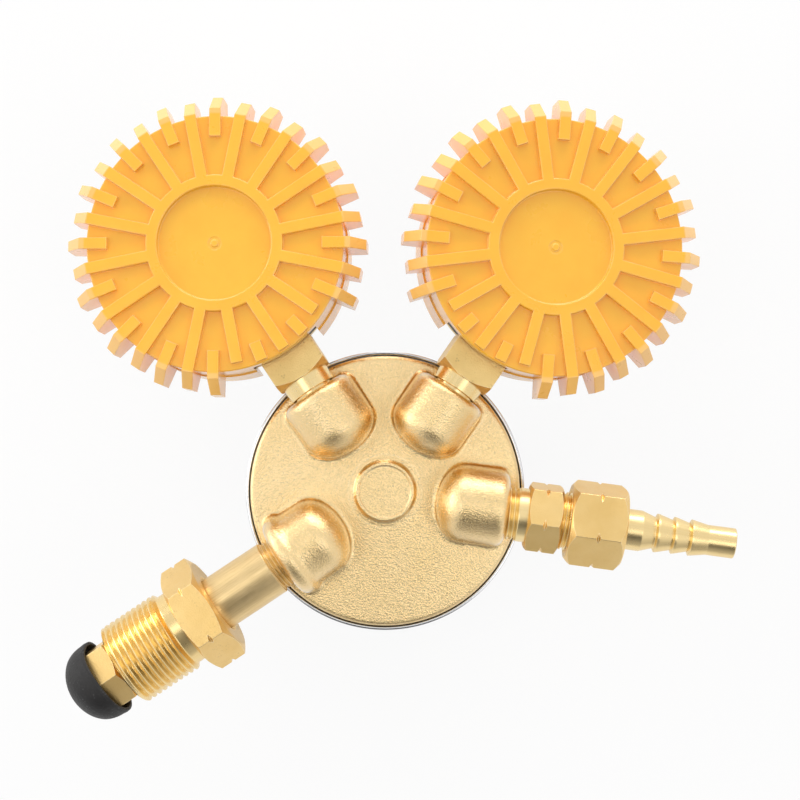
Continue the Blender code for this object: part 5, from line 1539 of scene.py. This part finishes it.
@dataclass
class Outlet(SubAssembly):
    """The outlet: its adaptor, the coupling nut and the barbed tail."""

    pitch: float = 1.337 * MM
    boss_face: float = 35.6 * MM
    port_thread_r: float = 7.65 * MM
    neck_start: float = 39.0 * MM
    neck: float = 2.4 * MM
    neck_r: float = 7.8 * MM
    hex_length: float = 9.8 * MM
    flats: float = 18.2 * MM
    turn: float = math.radians(-21)
    thread_r: float = 8.4 * MM
    thread: float = 10.0 * MM
    bore_r: float = 3.2 * MM
    nut_gap: float = 2.3 * MM
    nut_length: float = 16.2 * MM
    nut_flats: float = 21.9 * MM
    nut_turn: float = math.radians(-15)
    nut_floor: float = 2.2 * MM
    shank_r: float = 5.9 * MM
    shank: float = 4.9 * MM
    collar_r: float = 7.4 * MM
    taper: float = 4.4 * MM
    peaks: tuple[float, ...] = (5.65 * MM, 5.4 * MM, 5.3 * MM)
    valley_drop: float = 1.3 * MM
    barb_pitch: float = 5.0 * MM
    tip_r: float = 4.4 * MM
    tip: float = 8.0 * MM
    tail_bore_r: float = 2.9 * MM
    adaptor: Piece | None = field(default=None, init=False)
    block: Piece | None = field(default=None, init=False)
    nut: Piece | None = field(default=None, init=False)
    tail: Piece | None = field(default=None, init=False)

    @property
    def hex_end(self) -> float:
        """Where the adaptor's hexagon ends."""
        return self.neck_start + self.neck + self.hex_length

    @property
    def nut_end(self) -> float:
        """Where the coupling nut ends."""
        return self.hex_end + self.nut_gap + self.nut_length

    def _build_adaptor(self) -> Piece:
        """Turn the adaptor with both threads and make its hexagon as a piece of its own."""
        high = self.hex_end + self.thread
        low = self.boss_face - 8 * MM
        profile = [(self.bore_r, high), (self.thread_r - 0.9 * MM, high)]
        profile += threaded_rows(self.thread_r, high - 0.9 * MM, self.hex_end - SINK, self.pitch)
        profile += [(self.neck_r, self.hex_end - 2 * SINK), (self.neck_r, self.neck_start)]
        profile += threaded_rows(self.port_thread_r, self.neck_start - 0.2 * MM, low, self.pitch)
        profile.append((self.bore_r, low))
        made = Shaper.piece("outlet_adaptor_fitting", Shaper.lathe(profile, 128, loop=True))
        root = self.thread_r - 0.05 * MM
        made = cut_thread(made, self.pitch, (self.hex_end - MM, high + MM), root, Hand.LEFT)
        root = self.port_thread_r - 0.05 * MM
        made = cut_thread(made, self.pitch, (low, self.neck_start), root, Hand.RIGHT)
        span = (self.neck_start + self.neck, self.hex_end)
        block = notched_hex("block", self.flats, span, (0.75 * MM, 0.75 * MM), self.turn)
        self.block = Shaper.drill(block, 6.2 * MM, (30 * MM, 70 * MM))
        self.block.name = "outlet_adaptor_hex"
        return made

    def _build_nut(self) -> Piece:
        """Make the well-rounded coupling nut and hollow it out."""
        start = self.hex_end + self.nut_gap
        floor = self.nut_end - self.nut_floor
        made = notched_hex(
            "left_hand_outlet_nut", self.nut_flats, (start, self.nut_end), (1.5 * MM, 1.5 * MM), self.nut_turn
        )
        cavity = self.thread_r + GAP
        hollow = [
            (0, self.nut_end + 2 * MM, 0),
            (self.shank_r + GAP, self.nut_end + 2 * MM, 0),
            (self.shank_r + GAP, floor, 0.2 * MM),
            (cavity, floor, 0.2 * MM),
            (cavity, start + 0.8 * MM, 0.2 * MM),
            (cavity + 1.0 * MM, start - 0.3 * MM, 0),
            (0, start - 0.3 * MM, 0),
        ]
        return Shaper.combine(made, Shaper.turned("hollow", hollow, 96), "DIFFERENCE")

    def _build_tail(self) -> Piece:
        """Turn the barbed tail with its collar inside the nut."""
        shank_end = self.nut_end + self.shank
        first = shank_end + self.taper
        tip_start = first + self.barb_pitch * len(self.peaks)
        tip_end = tip_start + self.tip
        corners: list[Corner] = [
            (self.tail_bore_r + 0.35 * MM, tip_end, 0.1 * MM),
            (self.tip_r, tip_end, 0.35 * MM),
            (self.tip_r - 0.05 * MM, tip_start, 0.3 * MM),
        ]
        for index in range(len(self.peaks) - 1, -1, -1):
            peak = self.peaks[index]
            foot = first + self.barb_pitch * index
            if index < len(self.peaks) - 1:
                corners.append((peak - self.valley_drop, foot + self.barb_pitch - 0.1 * MM, 0.4 * MM))
            corners += [
                (peak - 0.12 * MM, foot + 0.75 * MM, 0.3 * MM),
                (peak, foot + 0.1 * MM, 0.12 * MM),
                (peak - self.valley_drop * 0.85, foot - 0.45 * MM, 0.35 * MM),
            ]
        floor = self.nut_end - self.nut_floor - GAP
        low = self.hex_end + self.thread + GAP
        corners += [
            (self.shank_r, shank_end, 0.8 * MM),
            (self.shank_r, floor, 0),
            (self.collar_r, floor, 0.2 * MM),
            (self.collar_r, low, 0.2 * MM),
            (self.tail_bore_r, low, 0),
            (self.tail_bore_r, tip_end - 0.4 * MM, 0),
        ]
        return Shaper.turned("barbed_tail", [corners[-1], *corners[:-1]], 128, loop=True)

    def build(self) -> None:
        """Make the pieces and set them on the outlet's axis."""
        place = port_axes("outlet_nut_turn")
        self.adaptor = self._build_adaptor()
        self.nut = self._build_nut()
        self.tail = self._build_tail()
        for made in (self.adaptor, self.block, self.nut, self.tail):
            made.data.transform(place)

    def dress(self) -> None:
        """Give the pieces their finishes."""
        place = port_axes("outlet_nut_turn")
        thread = TurnedBrass((0.96, 0.76, 0.40), (0.88, 0.65, 0.27), 0.25)
        for made, body, node, finish, name, angle in (
            (self.adaptor, "housing", "outlet_adaptor", thread, "adaptor_brass", 50.0),
            (self.block, "housing", None, MilledBrass(), "adaptor_hex_brass", 16.0),
            (self.nut, "outlet_nut", "outlet_nut", MilledBrass(), "outlet_nut_brass", 16.0),
            (self.tail, "hose_barb", "hose_barb", TurnedBrass(), "tail_brass", 30.0),
        ):
            self.seat(made, body, node, "turned_brass", finish.coat(name, place), angle)


@dataclass
class Gauge(SubAssembly):
    """One gauge: its ribbed cover, square stem, bezel, window and dial."""

    side: Side = Side.LEFT
    cover_turn: float = 0.0
    full_scale: int = 300
    numbers_step: int = 50
    collar_reach: float = 1.2 * MM
    top: float = 15.0 * MM
    depth: float = 30.0 * MM
    cover_r: float = 36.7 * MM
    cover_step: float = 0.4 * MM
    wall: float = 2.0 * MM
    ribs: int = 32
    rib_rise: float = 1.7 * MM
    rib_width: float = 3.4 * MM
    hub_r: float = 19.5 * MM
    hub_width: float = 3.2 * MM
    short_start: float = 30.6 * MM
    long_edge: float = 37.3 * MM
    short_edge: float = 38.6 * MM
    long_tooth: float = 41.9 * MM
    short_tooth: float = 42.9 * MM
    tooth_chamfer: float = 6.0 * MM
    tooth_draft: float = 18.0
    tooth_depth: float = 15.0 * MM
    case_r: float = 34.4 * MM
    stem_flats: float = 16.2 * MM
    stem_reach: float = 48.0 * MM
    collar: float = 3.2 * MM
    collar_r: float = 7.1 * MM
    stem_thread_r: float = 6.6 * MM
    dial_front: float = -7.4 * MM
    dial_r: float = 32.2 * MM
    text_size: float = 5.0 * MM
    zero: float = math.radians(45)
    sweep: float = math.radians(270)
    made: dict[str, Piece] = field(default_factory=dict, init=False)

    def _rib(self, start: float, edge: float, tooth: float | None) -> Piece:
        """Make one rib with rounded edges, standing along +X.

        Args:
            start: Where it starts.
            edge: Where its top ends.
            tooth: How far its tooth reaches, or None.

        Returns:
            The rib.
        """
        top = self.top
        low = top - self.rib_rise - SINK
        outline = [(start, low), (edge, low), (edge, top), (start, top)]
        if tooth is not None:
            inner = self.cover_r - SINK
            foot = top - self.tooth_depth
            outline = [
                (start, low),
                (inner, low),
                (inner, foot),
                (tooth, foot),
                (tooth, top - self.tooth_chamfer),
                (edge, top),
                (start, top),
            ]
        half = self.rib_width / 2
        shape = Shaper.prism(outline, -half, half)
        for vertex in shape.verts:
            beyond = max(0.0, vertex.co.x - self.cover_r)
            vertex.co.z *= 1.0 - self.tooth_draft * beyond
        edges = [
            e
            for e in shape.edges
            if max(v.co.x for v in e.verts) > start + 0.1 * MM
            and max(v.co.y for v in e.verts) > low + 0.1 * MM
        ]
        bmesh.ops.bevel(shape, geom=edges, offset=0.32 * MM, segments=2, profile=0.55, affect="EDGES")
        shape.transform(Matrix.Rotation(math.pi / 2, 4, "X"))
        bmesh.ops.recalc_face_normals(shape, faces=shape.faces)
        return Shaper.piece("rib", shape)

    def _rib_ring(self) -> Piece:
        """Set all ribs round the cover."""
        step = math.tau / self.ribs
        hub = self.hub_r - self.hub_width / 2
        kinds = [
            (self._rib(hub, self.long_edge, self.long_tooth), 13, 4, 2),
            (self._rib(self.short_start, self.short_edge, self.short_tooth), 14, 3, 2),
            (self._rib(hub, self.cover_r - self.wall, None), 2, -2, 4),
            (self._rib(hub, self.cover_r - SINK, None), 1, 0, 1),
            (self._rib(self.short_start, self.cover_r - SINK, None), 2, -1, 2),
        ]
        rings = []
        for rib, count, first, every in kinds:
            values = {"Count": count, "First_Angle": first * step, "Angle_Step": every * step}
            rings.append(RULES.apply(rib, RULES.ring, "rib_blank", **values))
        return Shaper.join(*rings)

    def _build_cover(self) -> Piece:
        """Turn the cover's cup, join its ribs and cut the slot for the stem."""
        floor = self.top - self.rib_rise
        ledge = self.top - self.tooth_depth
        inner_r = self.cover_r - self.wall
        outer_r = self.cover_r + self.cover_step
        front = self.top - self.depth
        ring = self.hub_r - self.hub_width
        profile = [
            (0, floor + 0.25 * MM, 0),
            (0.9 * MM, floor + 0.25 * MM, 0.2 * MM),
            (1.15 * MM, floor - 0.15 * MM, 0.2 * MM),
            (1.7 * MM, floor - 0.15 * MM, 0.2 * MM),
            (2.0 * MM, floor, 0.2 * MM),
            (ring, floor, 0.5 * MM),
            (ring, self.top, 0.4 * MM),
            (self.hub_r, self.top, 0.4 * MM),
            (self.hub_r, floor, 0.3 * MM),
            (self.cover_r, floor, 0.5 * MM),
            (self.cover_r, ledge, 0.1 * MM),
            (outer_r, ledge - self.cover_step, 0.15 * MM),
            (outer_r, front, 0.6 * MM),
            (inner_r, front, 0.4 * MM),
            (inner_r, floor - 2 * MM, 0.5 * MM),
            (0, floor - 2 * MM, 0),
        ]
        cover = Shaper.turned(f"{self.side.value}_ribbed_cover", profile, 160)
        cover = Shaper.combine(cover, self._rib_ring(), "UNION")
        cover.data.transform(Matrix.Rotation(self.cover_turn, 4, "Z"))
        half = self.stem_flats / 2 + 2.6 * MM
        slot_top = self.stem_flats / 2 + 1.4 * MM
        slot = [(inner_r / 2, -half), (60 * MM, -half), (60 * MM, half), (inner_r / 2, half)]
        cutter = Shaper.prism(slot, front - 2 * MM, slot_top)
        edges = [
            e
            for e in cutter.edges
            if min(v.co.z for v in e.verts) > 0 and abs(e.verts[0].co.x - e.verts[1].co.x) > MM
        ]
        bmesh.ops.bevel(cutter, geom=edges, offset=1.2 * MM, segments=4, profile=0.5, affect="EDGES")
        cutter.transform(Matrix.Rotation(self.cover_turn, 4, "Z"))
        return Shaper.combine(cover, Shaper.piece("slot", cutter), "DIFFERENCE")

    def _build_stem(self) -> Piece:
        """Make the square stem with its turned collar and thread, along the stem's own Z."""
        collar_low = -self.stem_reach
        ring_low = collar_low - self.collar_reach
        square_low = collar_low + self.collar
        square_high = -self.case_r - GAP
        corner = self.stem_flats / 2 * math.sqrt(2)
        blank = [
            (0, square_high, 0),
            (corner + MM, square_high, 0),
            (corner + MM, square_low + 2.4 * MM, 0),
            (self.stem_flats / 2 + 0.2 * MM, square_low, 0.3 * MM),
            (0, square_low, 0),
        ]
        made = Shaper.turned(f"{self.side.value}_square_stem", blank, 128)
        made = Shaper.cut_flats(made, Shaper.polygon(4, self.stem_flats), (square_low, square_high), 0.3 * MM)
        collar = [
            (0, square_low + SINK, 0),
            (self.collar_r, square_low + SINK, 0),
            (self.collar_r, ring_low, 0.25 * MM),
            (self.stem_thread_r - 0.8 * MM, ring_low, 0.05 * MM),
            (self.stem_thread_r - 0.8 * MM, collar_low - 1.7 * MM, 0.05 * MM),
            (self.stem_thread_r, collar_low - 7 * MM, 0),
            (0, collar_low - 7 * MM, 0),
        ]
        x, y = 5.5 * MM, 6.5 * MM
        section = [(-x, -y), (x, -y), (x, y), (-x, y)]
        block = Shaper.prism(section, square_high - SINK, square_high + 12 * MM)
        Shaper.bevel_edges(block, 0.3 * MM)
        self.made["collar"] = Shaper.turned(f"{self.side.value}_stem_collar", collar, 128)
        return Shaper.join(made, Shaper.piece("block", block))

    def _build_bezel(self) -> Piece:
        """Turn the bezel that holds the window."""
        low = self.top - self.depth + 0.8 * MM
        top = low + 3.4 * MM
        seat = self.case_r - 1.3 * MM
        lip = self.case_r - 4.0 * MM
        profile = [
            (self.case_r, top - 0.1 * MM, 0),
            (self.case_r, low, 0.8 * MM),
            (lip, low, 0.5 * MM),
            (lip, low + 1.0 * MM, 0.2 * MM),
            (seat, low + 1.0 * MM, 0.1 * MM),
            (seat, top, 0.1 * MM),
            (self.case_r, top, 0),
        ]
        return Shaper.turned(f"{self.side.value}_bezel_ring", profile, 144, loop=True)

    def _build_window(self) -> Piece:
        """Turn the clear window."""
        low = self.top - self.depth + 2.1 * MM
        radius = self.case_r - 1.6 * MM
        profile = [
            (0, low + 1.5 * MM, 0),
            (radius, low + 1.5 * MM, 0.2 * MM),
            (radius, low, 0.3 * MM),
            (0, low, 0),
        ]
        return Shaper.turned(f"{self.side.value}_window", profile, 144)

    def _build_dial(self) -> Piece:
        """Turn the dial plate with its hole."""
        front = self.dial_front
        profile = [
            (1.6 * MM, front + 0.5 * MM, 0),
            (self.dial_r, front + 0.5 * MM, 0.1 * MM),
            (self.dial_r, front, 0.1 * MM),
            (1.6 * MM, front, 0),
        ]
        return Shaper.turned(f"{self.side.value}_dial_plate", profile, 144, loop=True)

    def _tick(self, inner: float, outer: float, half: float) -> Piece:
        """Make one mark of the dial, along +X."""
        front = self.dial_front
        outline = [(inner, -half), (outer, -half), (outer, half), (inner, half)]
        return Shaper.piece("tick", Shaper.prism(outline, front - 0.06 * MM, front + 0.02 * MM))

    def _number(self, text: str, angle: float) -> Piece:
        """Write one number of the dial, upright when the stem is below.

        Args:
            text: The number.
            angle: Where it stands, from the stem's direction.

        Returns:
            The number as a mesh.
        """
        curve = bpy.data.curves.new("number", "FONT")
        curve.body = text
        curve.size = self.text_size
        curve.align_x = "CENTER"
        curve.align_y = "CENTER"
        curve.extrude = 0.03 * MM
        curve.resolution_u = 3
        written = bpy.data.objects.new("number", curve)
        bpy.context.scene.collection.objects.link(written)
        bpy.context.view_layer.update()
        evaluated = written.evaluated_get(bpy.context.evaluated_depsgraph_get())
        mesh = bpy.data.meshes.new_from_object(evaluated)
        bpy.data.objects.remove(written)
        turn = Matrix(((0, -1, 0), (-1, 0, 0), (0, 0, -1))).to_4x4()
        radius = self.dial_r - 11.5 * MM
        spot = Vector((radius * math.cos(angle), radius * math.sin(angle), self.dial_front - 0.03 * MM))
        mesh.transform(Matrix.Translation(spot) @ turn)
        made = bpy.data.objects.new("number", mesh)
        bpy.context.scene.collection.objects.link(made)
        return made

    def _build_scale(self) -> Piece:
        """Print the dial's marks and numbers."""
        steps = self.full_scale // self.numbers_step
        edge = self.dial_r - 2.6 * MM
        kinds = [
            (self._tick(edge - 5.0 * MM, edge, 0.4 * MM), steps + 1, self.sweep / steps),
            (self._tick(edge - 2.6 * MM, edge, 0.18 * MM), steps * 10 + 1, self.sweep / steps / 10),
        ]
        rings = [
            RULES.apply(tick, RULES.ring, "scale_blank", Count=count, First_Angle=self.zero, Angle_Step=step)
            for tick, count, step in kinds
        ]
        numbers = [
            self._number(str(self.numbers_step * i), self.zero + self.sweep * i / steps)
            for i in range(steps + 1)
        ]
        made = Shaper.join(*rings, *numbers)
        made.name = f"{self.side.value}_dial_scale"
        return made

    def build(self) -> None:
        """Make the gauge's pieces and set them in its frame."""
        gauge = gauge_axes(self.side)
        self.made = {
            "cover": self._build_cover(),
            "bezel": self._build_bezel(),
            "window": self._build_window(),
            "dial": self._build_dial(),
            "scale": self._build_scale(),
        }
        for made in self.made.values():
            made.data.transform(gauge)
        self.made["stem"] = self._build_stem()
        for part in ("stem", "collar"):
            self.made[part].data.transform(stem_axes(self.side))

    def dress(self) -> None:
        """Give the gauge's pieces their finishes."""
        name = self.side.value
        place = gauge_axes(self.side)
        stem_place = stem_axes(self.side)
        # The cover's paler edges and tooth tips are painted sheen.
        moulded = MouldedPlastic(gloss=0.7, sheen_from=self.long_edge - 0.5 * MM)
        stem = MilledBrass((0.86, 0.62, 0.26), (0.58, 0.39, 0.13), 0.33, 0.5 * MM, 0.14 * MM, 0.45)
        collar = TurnedBrass(roughness=0.22)
        print_black = Enamel((0.02, 0.02, 0.02))
        for part, node, slot, finish, look, axis, angle in (
            ("cover", "cover", "cover_plastic", moulded, "cover_plastic", place, 30.0),
            ("stem", "stem", "turned_brass", stem, "stem_brass", stem_place, 20.0),
            ("collar", None, "turned_brass", collar, "collar_brass", stem_place, 32.0),
            ("bezel", "bezel", "turned_brass", TurnedBrass(), "bezel_brass", place, 32.0),
            ("window", "lens", "clear_lens", ClearWindow(), "window_clear", place, 32.0),
            ("dial", "dial", "dial_white", Enamel(), "dial_white", place, 32.0),
            ("scale", None, "pointer_black", print_black, "scale_black", place, 32.0),
        ):
            coat = finish.coat(f"{name}_{look}", axis)
            packed = f"{name}_gauge_{node}" if node else None
            self.seat(self.made[part], "housing", packed, slot, coat, angle)


@dataclass
class InnerParts(SubAssembly):
    """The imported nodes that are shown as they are, with finishes of their own."""

    bronze: tuple[str, ...] = ("inlet_filter", "left_gauge_bourdon_tube", "right_gauge_bourdon_tube")
    brass: tuple[str, ...] = ("seat_nozzle",)
    rubber: tuple[str, ...] = ("diaphragm", "inlet_seal")
    steel: tuple[str, ...] = (
        "adjusting_screw",
        "spring_button",
        "main_spring",
        "diaphragm_plate",
        "slip_ring",
        "valve_poppet",
        "valve_spring",
    )
    movement: tuple[str, ...] = ("pinion", "sector_gear", "link", "movement_frame")

    def build(self) -> None:
        """Nothing is made here: the solids are the pieces."""

    def dress(self) -> None:
        """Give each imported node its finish."""
        steel = PlatedMetal((0.56, 0.56, 0.58), 0.3, 0.25 * MM, 0.01 * MM).coat("turned_steel")
        bronze = TurnedBrass((0.62, 0.38, 0.18), (0.5, 0.28, 0.12), 0.32).coat("bronze")
        brass = TurnedBrass().coat("movement_brass")
        rubber = Rubber().coat("inner_rubber")
        black = Enamel((0.03, 0.03, 0.032), 0.35).coat("black_enamel")
        gauges = [side.value for side in Side]
        groups = {
            steel: self.steel,
            bronze: self.bronze,
            brass: self.brass + tuple(f"{g}_gauge_{n}" for g in gauges for n in self.movement),
            rubber: self.rubber,
            black: tuple(f"{g}_gauge_{n}" for g in gauges for n in ("case", "pointer")),
        }
        for coat, names in groups.items():
            for name in names:
                node = frame["nodes"][name]
                node.data.materials[0] = coat
                LOG.info("%s keeps its packed shape", name)


# ================================================================ floor, light and camera
@dataclass(frozen=True)
class Studio:
    """The pale floor, the soft light and the camera above the regulator."""

    camera_place: tuple[float, float, float] = (0.00441, 0.02677, 0.586)
    lens: float = 77.85
    sensor: float = 36.0
    floor_side: float = 6.0
    world_level: float = 0.88
    floor_glow: float = 0.84
    mirrored_glow: float = 0.68
    lamps: tuple[tuple[str, tuple[float, float, float], tuple[float, float], float], ...] = (
        ("left_softbox", (-0.46, -0.10, 1.15), (0.5, 0.5), 0.95),
        ("right_softbox", (0.40, -0.24, 1.15), (0.5, 0.5), 1.1),
        ("far_softbox", (0.10, 1.30, 0.42), (1.6, 0.5), 9.0),
        ("side_softbox", (-1.25, 0.35, 0.42), (1.0, 0.5), 4.5),
    )

    def build_floor(self) -> None:
        """Lay a pale floor that looks white to the camera and still takes a faint shadow."""
        half = self.floor_side / 2
        mesh = bpy.data.meshes.new("floor")
        corners = [(-half, -half, 0), (half, -half, 0), (half, half, 0), (-half, half, 0)]
        mesh.from_pydata(corners, [], [(0, 1, 2, 3)])
        floor = bpy.data.objects.new("floor", mesh)
        bpy.context.scene.collection.objects.link(floor)
        material = bpy.data.materials.new("pale_floor")
        material.use_nodes = True
        sheet = Sheet(material.node_tree)
        shader = material.node_tree.nodes["Principled BSDF"]
        shader.inputs["Base Color"].default_value = (0.92, 0.92, 0.92, 1)
        shader.inputs["Roughness"].default_value = 0.9
        glow = sheet.add("ShaderNodeEmission", Color=(1.0, 1.0, 1.0, 1.0), Strength=1.0)
        path = sheet.add("ShaderNodeLightPath")
        seen = sheet.math("MAXIMUM", path.outputs["Is Camera Ray"], path.outputs["Is Transmission Ray"])
        mirrored = sheet.product(path.outputs["Is Glossy Ray"], self.mirrored_glow)
        seen = sheet.math("MAXIMUM", seen, mirrored)
        mix = sheet.add("ShaderNodeMixShader")
        sheet.put(sheet.product(seen, self.floor_glow), mix.inputs[0])
        sheet.put(shader.outputs[0], mix.inputs[1])
        sheet.put(glow.outputs[0], mix.inputs[2])
        output = material.node_tree.nodes["Material Output"]
        sheet.put(mix.outputs[0], output.inputs["Surface"])
        mesh.materials.append(material)

    def build_world(self) -> None:
        """Make the white surroundings, with a darker side that gives the brass its contrast."""
        world = bpy.data.worlds.new("studio")
        bpy.context.scene.world = world
        world.use_nodes = True
        sheet = Sheet(world.node_tree)
        background = world.node_tree.nodes["Background"]
        direction = sheet.add("ShaderNodeTexCoord").outputs["Generated"]
        split = sheet.add("ShaderNodeSeparateXYZ", Vector=direction)
        overhead = sheet.remap(split.outputs["Z"], (0.93, 0.99), (1.0, 0.95))
        south = sheet.remap(split.outputs["Y"], (-0.15, 0.02), (1.0, 0.0))
        aside = sheet.math("ABSOLUTE", sheet.math("ADD", split.outputs["X"], 0.02))
        wedge = sheet.math("ADD", aside, sheet.product(split.outputs["Y"], 0.6))
        narrow = sheet.remap(wedge, (-0.04, 0.20), (1.0, 0.0))
        raised = sheet.remap(split.outputs["Z"], (0.35, 0.85), (0.5, 1.0))
        shade = sheet.product(south, narrow, raised)
        unlit = sheet.math("SUBTRACT", 1.0, shade)
        level = sheet.product(overhead, unlit)
        path = sheet.add("ShaderNodeLightPath")
        lit = sheet.product(level, self.world_level)
        seen = path.outputs["Is Camera Ray"]
        strength = sheet.math("ADD", lit, sheet.product(seen, sheet.math("SUBTRACT", 1.0, lit)))
        sheet.put(strength, background.inputs["Strength"])
        background.inputs["Color"].default_value = (1, 1, 1, 1)

    def build_lamps(self) -> None:
        """Hang the softboxes, each aimed at the regulator."""
        for name, spot, size, power in self.lamps:
            lamp = bpy.data.lights.new(name, "AREA")
            lamp.shape = "RECTANGLE"
            lamp.size, lamp.size_y = size
            lamp.energy = power
            hung = bpy.data.objects.new(name, lamp)
            hung.location = spot
            hung.rotation_euler = (Vector((0, 0.02, 0.08)) - Vector(spot)).to_track_quat("-Z", "Y").to_euler()
            bpy.context.scene.collection.objects.link(hung)

    def build_camera(self) -> None:
        """Set the camera straight above the regulator."""
        camera = bpy.data.cameras.new("camera")
        camera.lens = self.lens
        camera.sensor_width = self.sensor
        camera.clip_start = 0.01
        camera.clip_end = 10.0
        seen = bpy.data.objects.new("camera", camera)
        seen.location = self.camera_place
        bpy.context.scene.collection.objects.link(seen)
        bpy.context.scene.camera = seen

    def build(self) -> None:
        """Make the whole studio."""
        bpy.context.scene.view_settings.view_transform = "Standard"
        self.build_floor()
        self.build_world()
        self.build_lamps()
        self.build_camera()
        LOG.info("studio: %d softboxes", len(self.lamps))


def main() -> None:
    """Build the regulator's sub-assemblies in order, then the studio."""
    logging.basicConfig(level=logging.INFO, format="%(name)s: %(message)s")
    assemblies: list[SubAssembly] = [
        ForgedBody(),
        Front(),
        Inlet(),
        Outlet(),
        Gauge(Side.LEFT, math.radians(0.3), 300, 50, 1.2 * MM),
        Gauge(Side.RIGHT, math.radians(-3.4), 4, 1, 0.5 * MM),
        InnerParts(),
    ]
    for assembly in assemblies:
        LOG.info("building %s", type(assembly).__name__)
        assembly.build()
        assembly.dress()
    Studio().build()


if __name__ == "__main__":
    main()
